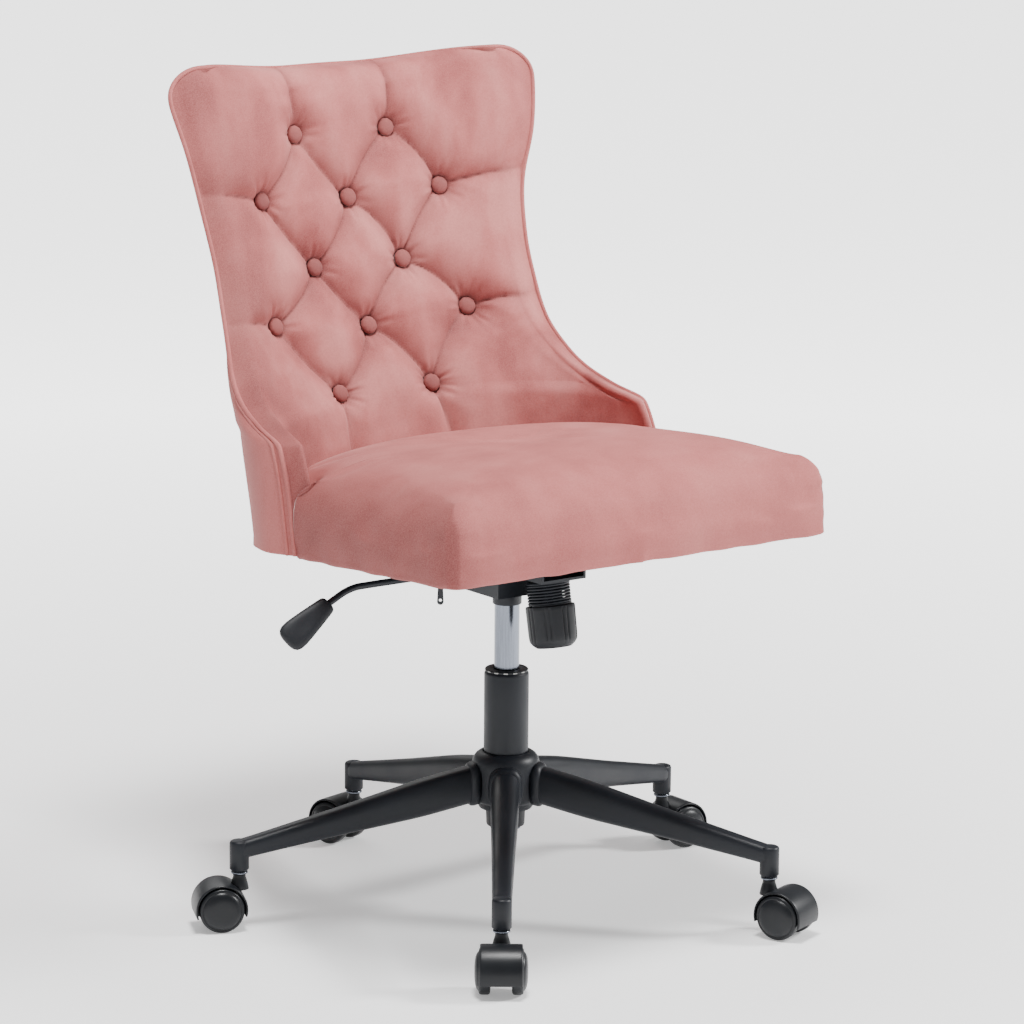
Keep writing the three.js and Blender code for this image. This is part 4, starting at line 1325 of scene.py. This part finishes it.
def make_knob():
    """Tension knob: a hollow-looking cap with pairs of grip grooves and a bevelled lower edge."""
    axis, side, across = bolt_basis()
    origin = np.array(BOLT_TOP, float) + axis * (SPRING_LENGTH + 0.6)
    segments = 180
    stations = [
        (0.0, 0.90, 0), (0.6, 0.985, 0.1), (2.0, 1.0, 0.3), (5.0, 1.0, 1), (KNOB_HEIGHT - 14, 0.985, 1),
        (KNOB_HEIGHT - 9, 0.97, 0.5), (KNOB_HEIGHT - 7, 0.95, 0.1), (KNOB_HEIGHT - 3.5, 0.86, 0),
        (KNOB_HEIGHT - 1.2, 0.76, 0), (KNOB_HEIGHT, 0.70, 0), (KNOB_HEIGHT - 1.0, 0.55, 0),
        (KNOB_HEIGHT - 2.6, 0.30, 0), (KNOB_HEIGHT - 2.8, 0.05, 0),
    ]
    turns = np.linspace(0, 2 * math.pi, segments, endpoint=False)
    lobe = np.mod(turns * 8 / (2 * math.pi) + 0.5, 1) - 0.5
    groove = np.exp(-((np.abs(lobe) - 0.13) / 0.035)**2)
    rings = []
    for distance, share, fluted in stations:
        radius = KNOB_RADIUS * share - 1.7 * groove * fluted
        rings.append(origin + distance * axis + np.outer(radius * np.cos(turns), side)
                     + np.outer(radius * np.sin(turns), across))
    obj = loft_object("tension_handwheel", rings)
    sharp_by_angle(obj, 50)
    return piece(obj, "knob", MATERIALS["plastic"], "black_plastic", "tension_knob")


def make_bolts():
    """Hexagon heads that hold the plate to the seat board, with washers."""
    made = []
    for x in (-74, 74):
        for y in (-96, 66):
            head = y * math.tan(math.radians(SEAT_PITCH))
            top = SEAT_Z - head - 4.0
            washer = tube_object("washer", [(x, y, top), (x, y, top - 1.4)], 8.0, 28)
            hexagon = tube_object("hexagon", [(x, y, top - 1.4), (x, y, top - 6.0)], 5.6, 6)
            made += [washer, softened(hexagon, 0.4, 2)]
    return piece(joined("plate_bolts", made), "tilt", MATERIALS["steel"], "bright_steel")


def make_axle_caps():
    made = []
    for side in (-1, 1):
        path = [(side * 56.5, AXLE_Y, AXLE_Z), (side * 58.4, AXLE_Y, AXLE_Z), (side * 59.2, AXLE_Y, AXLE_Z)]
        made.append(tube_object("cap", path, [7.2, 7.2, 6.0], 32))
    return piece(joined("axle_caps", made), "lift", MATERIALS["steel"], "bright_steel")


# ---- lever ----
def make_lever_rod():
    """Bent wire that runs out of the housing and dips to the paddle."""
    path = smooth_path([(12, AXLE_Y + 35, LEVER_Z), (-60, 0, LEVER_Z), (-140, 0, LEVER_Z), (-190, 0, LEVER_Z),
                        (-205, 0, 391.3), (-218, 0, 388), (-230, 0, 382.5), (-238.4, 0, 378.3)], 8)
    obj = tube_object("lever_wire", path, LEVER_RADIUS, 20)
    return piece(obj, "lever", MATERIALS["black"], "black_metal", "lever_rod")


def make_lever_grip():
    """Moulded paddle: a round neck that spreads into a flat, thumb-shaped blade."""
    start = np.array([GRIP_START[0], 0.0, GRIP_START[1]])
    tip = np.array([GRIP_TIP[0], 0.0, GRIP_TIP[1]])
    length = np.linalg.norm(tip - start)
    along = (tip - start) / length
    roll = math.radians(GRIP_ROLL)
    depth = np.array([0.0, 1.0, 0.0])
    below = np.cross(along, depth)
    if below[2] > 0:
        below = -below
    wide = math.cos(roll) * below - math.sin(roll) * depth
    thin = np.cross(along, wide)
    table = [(0, 5.6, 5.4), (0.8, 8.6, 6.4), (3, 9.8, 7.0), (8, 10.8, 7.4), (24, 13.2, 7.0), (40, 15.4, 6.4),
             (50, 16.4, 6.0), (57, 16.1, 5.6), (61.5, 14.4, 5.0), (64.2, 11.0, 3.9), (65.3, 6.4, 2.5),
             (65.7, 2.0, 0.8)]
    distances = np.concatenate([np.linspace(0, 3, 6), np.linspace(5, 57, 14), np.linspace(58.5, 65.7, 12)])
    stations, half_wides, half_thins = zip(*table)
    rings = []
    for distance in distances:
        half_wide = float(np.interp(distance, stations, half_wides))
        half_thin = float(np.interp(distance, stations, half_thins))
        x, y, turns = rounded_section(half_wide, half_thin, 0.80, 48)
        hollow = 1.3 * np.exp(-((distance - 36) / 14)**2) * np.exp(-(x / 8)**2) * (np.sin(turns) > 0)
        y = y - hollow * np.sign(y)
        rings.append(start + along * distance + np.outer(x, wide) + np.outer(y, thin))
    obj = loft_object("lever_paddle", rings)
    return piece(obj, "lever", MATERIALS["plastic"], "black_plastic", "lever_grip")


# ---- star base ----
def arm_ring(share, grow=0.0):
    """Section of an arm: a rounded rectangle that tapers and turns down towards the caster."""
    drop = lerp(ARM_ROOT[1], ARM_TIP[1], share)
    nearby = np.clip([share - 0.06, share, share + 0.06], 0, 1)
    taper = float(np.interp(nearby, (0, 0.24, 0.6, 1), (0, 0, 0.55, 1)) @ (0.25, 0.5, 0.25))
    reach = lerp(ARM_ROOT[0], ARM_TIP[0], share)
    half_wide = lerp(ARM_ROOT_SIZE[0], ARM_TIP_SIZE, taper) / 2 + grow
    half_tall = lerp(ARM_ROOT_SIZE[1], ARM_TIP_SIZE, taper) / 2 + grow
    y, z, turns = rounded_section(half_wide, half_tall, 0.72, 40)
    return np.stack([np.full(len(turns), reach), y, drop + z], -1)


def turned_about_column(points, degrees):
    turn = math.radians(degrees)
    points = np.asarray(points, float)
    x = points[..., 0] * math.cos(turn) - points[..., 1] * math.sin(turn)
    y = points[..., 0] * math.sin(turn) + points[..., 1] * math.cos(turn)
    return np.stack([x, y, points[..., 2]], -1)


def make_arms():
    """Five pressed-steel arms, each with a raised collar at the hub and a round socket for its caster."""
    made = []
    for k in range(ARM_COUNT):
        angle = FIRST_ARM + 72 * k
        rings = [arm_ring(s) for s in np.linspace(0, 1, 44)]
        last = rings[-1]
        centre = last.mean(axis=0)
        for step, share in ((1.6, 0.93), (2.6, 0.78), (3.0, 0.5)):
            ring = centre + (last - centre) * (1, share, share) + (step, 0, 0)
            rings.append(ring)
        made.append(loft_object("arm", turned_about_column(rings, angle)))
        collar = [arm_ring(s, g)
                  for s, g in ((0.0, 3.4), (0.020, 3.4), (0.032, 2.6), (0.038, 0.6), (0.040, -1))]
        made.append(loft_object("collar", turned_about_column(collar, angle)))
        turn = math.radians(angle)
        middle = np.array([SOCKET_DISTANCE * math.cos(turn), SOCKET_DISTANCE * math.sin(turn), 0])
        profile = [(SOCKET_RADIUS - 3.4, SOCKET_BOTTOM), (SOCKET_RADIUS - 0.8, SOCKET_BOTTOM),
                   (SOCKET_RADIUS, SOCKET_BOTTOM + 0.8), (SOCKET_RADIUS, SOCKET_TOP - 3.2),
                   (SOCKET_RADIUS - 0.8, SOCKET_TOP - 1.2), (SOCKET_RADIUS - 2.6, SOCKET_TOP - 0.2),
                   (SOCKET_RADIUS - 5.4, SOCKET_TOP + 0.3), (0.4, SOCKET_TOP + 0.5)]
        made.append(sharp_by_angle(loft_object("socket", middle + upright_rings(profile, 40)), 50))
    nodes = [f"base_arm_{k + 1}" for k in range(ARM_COUNT)]
    return piece(joined("star_arms", made), "base", MATERIALS["black"], "black_metal", *nodes)


def make_hub():
    """Round hub with a domed shoulder that the column's taper drops into."""
    obj = turned_object("star_hub", [
        (TUBE_RADIUS - 0.4, HUB_BOTTOM), (29.4, HUB_BOTTOM), (30.4, HUB_BOTTOM + 1.6), (30.5, 121),
        (34.5, 123.4), (37.0, 125.6), (HUB_RADIUS, 129), (HUB_RADIUS, 163), (37.6, 167.5), (36.2, 172.2),
        (33.6, 175.9), (30.4, 178.2), (27.6, HUB_TOP), (26.2, HUB_TOP), (25.5, HUB_TOP - 1.0),
        (TUBE_RADIUS - 0.4, HUB_BOTTOM),
    ], 96, sharp=50)
    return piece(obj, "base", MATERIALS["black"], "black_metal", "base_hub")


# ---- casters ----
def caster_places():
    """Each caster's stem position and the direction its wheels trail in."""
    places = []
    for k, trail in enumerate(TRAIL_TURNS):
        turn = math.radians(FIRST_ARM + 72 * k)
        places.append((SOCKET_DISTANCE * math.cos(turn), SOCKET_DISTANCE * math.sin(turn),
                       math.radians(trail)))
    return places


def caster_points(points, stem):
    """From a caster's own frame, x trailing, y across and z up, to the chair's."""
    points = np.asarray(points, float)
    x, y, trail = stem
    out = np.array([math.cos(trail), math.sin(trail), 0.0])
    across = np.array([-math.sin(trail), math.cos(trail), 0.0])
    return (np.array([x, y, 0.0]) + points[..., :1] * out + points[..., 1:2] * across
            + points[..., 2:3] * np.array([0, 0, 1.0]))


def wheel_rings(profile, segments=72):
    """Rings about a wheel's axle from radius and width pairs, in the caster's frame."""
    turns = np.linspace(0, 2 * math.pi, segments, endpoint=False)
    return [
        np.stack([TRAIL + r * np.cos(turns), np.full(segments, s), WHEEL_RADIUS + r * np.sin(turns)], -1)
        for r, s in profile
    ]


WHEEL_PROFILE = [
    (3.4, WHEEL_INNER), (21, WHEEL_INNER), (23.4, 11.8), (24.6, 12.9), (25.0, 14.6), (25.0, 20.4),
    (24.7, 22.2), (23.8, 23.4), (22.4, 23.9), (21.6, 23.6), (21.2, 23.7), (20.6, 24.6), (18.4, 26.2),
    (15.2, 27.4), (11.0, 28.1), (6.0, 28.45), (0.4, 28.5),
]


def wheel_hand(side):
    return "left" if side > 0 else "right"


def make_wheel(number, side, stem):
    """One wheel of a twin: a rounded tread, a groove and a domed outer cap."""
    hand = wheel_hand(side)
    profile = [(r, side * s) for r, s in WHEEL_PROFILE]
    obj = loft_object(f"caster_roller_{number}_{hand}", caster_points(np.array(wheel_rings(profile)), stem))
    sharp_by_angle(obj, 40)
    return piece(obj, f"caster_{number}_{hand}", MATERIALS["nylon"], "caster_plastic",
                 f"caster_{number}_wheel_{hand}")


def make_hood(number, stem):
    """Hood over both wheels: a curved shell with a neck for the stem and a web between the wheels."""
    start, end = math.radians(-HOOD_FRONT_DROP), math.radians(180 + HOOD_DROP)
    turns = np.linspace(start, end, 60)
    half = HOOD_WIDTH / 2 + 5
    made = []
    section = [
        (-half, 26.9), (-half, 28.0), (-half + 0.8, 28.8), (-half + 2.4, HOOD_RADIUS), (0, HOOD_RADIUS),
        (half - 2.4, HOOD_RADIUS), (half - 0.8, 28.8), (half, 28.0), (half, 26.9), (0, HOOD_INNER),
    ]
    rings = []
    for a in turns:
        rings.append([(TRAIL + r * math.cos(a), s, WHEEL_RADIUS + r * math.sin(a)) for s, r in section])
    shell = loft_object("shell", caster_points(np.array(rings), stem))
    made.append(softened(sharp_by_angle(shell, 45), 0.4, 2))
    neck_profile = [(NECK_RADIUS + 3.6, 44), (NECK_RADIUS + 2.4, 50), (NECK_RADIUS + 1.0, 55),
                    (NECK_RADIUS, 58), (NECK_RADIUS, NECK_TOP - 0.8), (NECK_RADIUS - 0.9, NECK_TOP)]
    made.append(loft_object("neck", caster_points(upright_rings(neck_profile, 36), stem)))
    rings = []
    for s in (-10.3, 10.3):
        rings.append([(TRAIL + 26.9 * math.cos(a), s, WHEEL_RADIUS + 26.9 * math.sin(a))
                      for a in np.linspace(start, end, 40)])
    made.append(loft_object("web", caster_points(np.array(rings), stem)))
    obj = joined(f"caster_cowl_{number}", made)
    return piece(obj, f"caster_{number}", MATERIALS["nylon"], "caster_plastic", f"caster_{number}_hood")


def make_stem(number, stem):
    """Steel stem with a shoulder under the arm's socket."""
    profile = [(9.3, 62.0), (9.5, 62.3), (9.5, 63.5), (9.2, 63.9), (5.2, 64.0), (5.2, 80), (5.2, 91),
               (4.4, 92)]
    obj = loft_object(f"caster_pin_{number}", caster_points(upright_rings(profile, 36), stem))
    sharp_by_angle(obj, 40)
    return piece(obj, f"caster_{number}", MATERIALS["steel"], "bright_steel", f"caster_{number}_stem")


def make_casters():
    for number, stem in enumerate(caster_places(), 1):
        make_hood(number, stem)
        make_stem(number, stem)
        for side in (-1, 1):
            make_wheel(number, side, stem)


# ---- render stage ----
def make_camera():
    turn = math.radians(CAMERA_TURN)
    elevation = math.radians(CAMERA_ELEVATION)
    ahead = Vector((math.sin(turn) * math.cos(elevation), math.cos(turn) * math.cos(elevation),
                    -math.sin(elevation)))
    side = Vector((math.cos(turn), -math.sin(turn), 0.0))
    aim = Vector((AXIS[0], AXIS[1], CAMERA_AIM_HEIGHT * MM)) + side * CAMERA_SIDE_SHIFT * MM
    camera = bpy.data.objects.new("camera", bpy.data.cameras.new("camera"))
    bpy.context.scene.collection.objects.link(camera)
    camera.location = aim - ahead * CAMERA_DISTANCE * MM
    facing_turn = ahead.to_track_quat("-Z", "Y").to_matrix().to_4x4()
    roll = Matrix.Rotation(math.radians(CAMERA_ROLL), 4, "Z")
    camera.matrix_world = Matrix.Translation(camera.location) @ facing_turn @ roll
    camera.data.lens = CAMERA_LENS
    camera.data.sensor_width = 36.0
    camera.data.clip_end = 50
    bpy.context.scene.camera = camera


def area_light(name, location, target, size, power, colour=(1, 1, 1)):
    light = bpy.data.lights.new(name, "AREA")
    light.shape = "RECTANGLE"
    light.size, light.size_y = size
    light.energy = power
    light.color = colour
    obj = bpy.data.objects.new(name, light)
    bpy.context.scene.collection.objects.link(obj)
    obj.location = location
    obj.rotation_mode = "QUATERNION"
    obj.rotation_quaternion = (Vector(target) - Vector(location)).to_track_quat("-Z", "Y")
    return obj


def make_stage():
    floor = new_object("floor", [(-9, -9, 0), (9, -9, 0), (9, 9, 0), (-9, 9, 0)], [(0, 1, 2, 3)])
    shader = Shader("studio_floor", Roughness=0.6)
    shader.bsdf.inputs["Base Color"].default_value = (0.93, 0.93, 0.93, 1.0)
    shader.bsdf.inputs["Emission Color"].default_value = (1.0, 1.0, 1.0, 1.0)
    length = shader.node("ShaderNodeVectorMath", {0: shader.coordinates()}, operation="LENGTH")
    shader.to("Emission Strength", shader.mapped(length.outputs["Value"], 0.5, 3.0, 0.35, 2.6))
    floor.data.materials.append(shader.material)
    world = bpy.data.worlds.new("studio")
    world.use_nodes = True
    world.node_tree.nodes["Background"].inputs["Color"].default_value = (1.0, 1.0, 1.0, 1.0)
    world.node_tree.nodes["Background"].inputs["Strength"].default_value = 0.26
    bpy.context.scene.world = world
    middle = (0, 0, 0.5)
    area_light("key", (3.2, -1.9, 2.4), middle, (0.8, 0.8), 210)
    area_light("top", (-0.3, -0.5, 3.4), middle, (0.8, 0.8), 150)
    area_light("left", (-3.6, -0.9, 1.4), middle, (1.6, 2.4), 6)
    area_light("rear", (0.8, 3.4, 2.4), middle, (2.6, 2.0), 30)


def dress_cad_nodes():
    """Gives each CAD node that stays its material, and rounds the sharp edges of the housing and the tilt
    plate.
    """
    looks = {
        "mech_housing": "black", "tilt_plate": "black", "tilt_axle": "steel", "lever_pivot": "plastic",
        "seat_board": "ply", "back_frame": "ply", "tension_bolt": "steel", "piston_rod": "steel",
        "thrust_bearing": "steel", "release_button": "steel",
    }
    for name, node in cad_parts.items():
        key = looks.get(name, "black")
        node.data.materials.clear()
        node.data.materials.append(MATERIALS[key])
        if name in ("mech_housing", "tilt_plate"):
            softened(node, 1.2)


def make_buttons():
    for number, (x, z) in enumerate(BUTTONS):
        make_button(number, x, z)


for build in (
    make_camera, dress_cad_nodes, make_tufting, make_rear_cover, make_welts, make_buttons, make_seat,
    make_dust_cover, make_clip_edge, make_column, make_guide_ring, make_cylinder, make_collar,
    make_piston_clip, make_spring, make_knob, make_bolts, make_axle_caps, make_lever_rod, make_lever_grip,
    make_hub, make_arms, make_casters, make_stage,
):
    build()
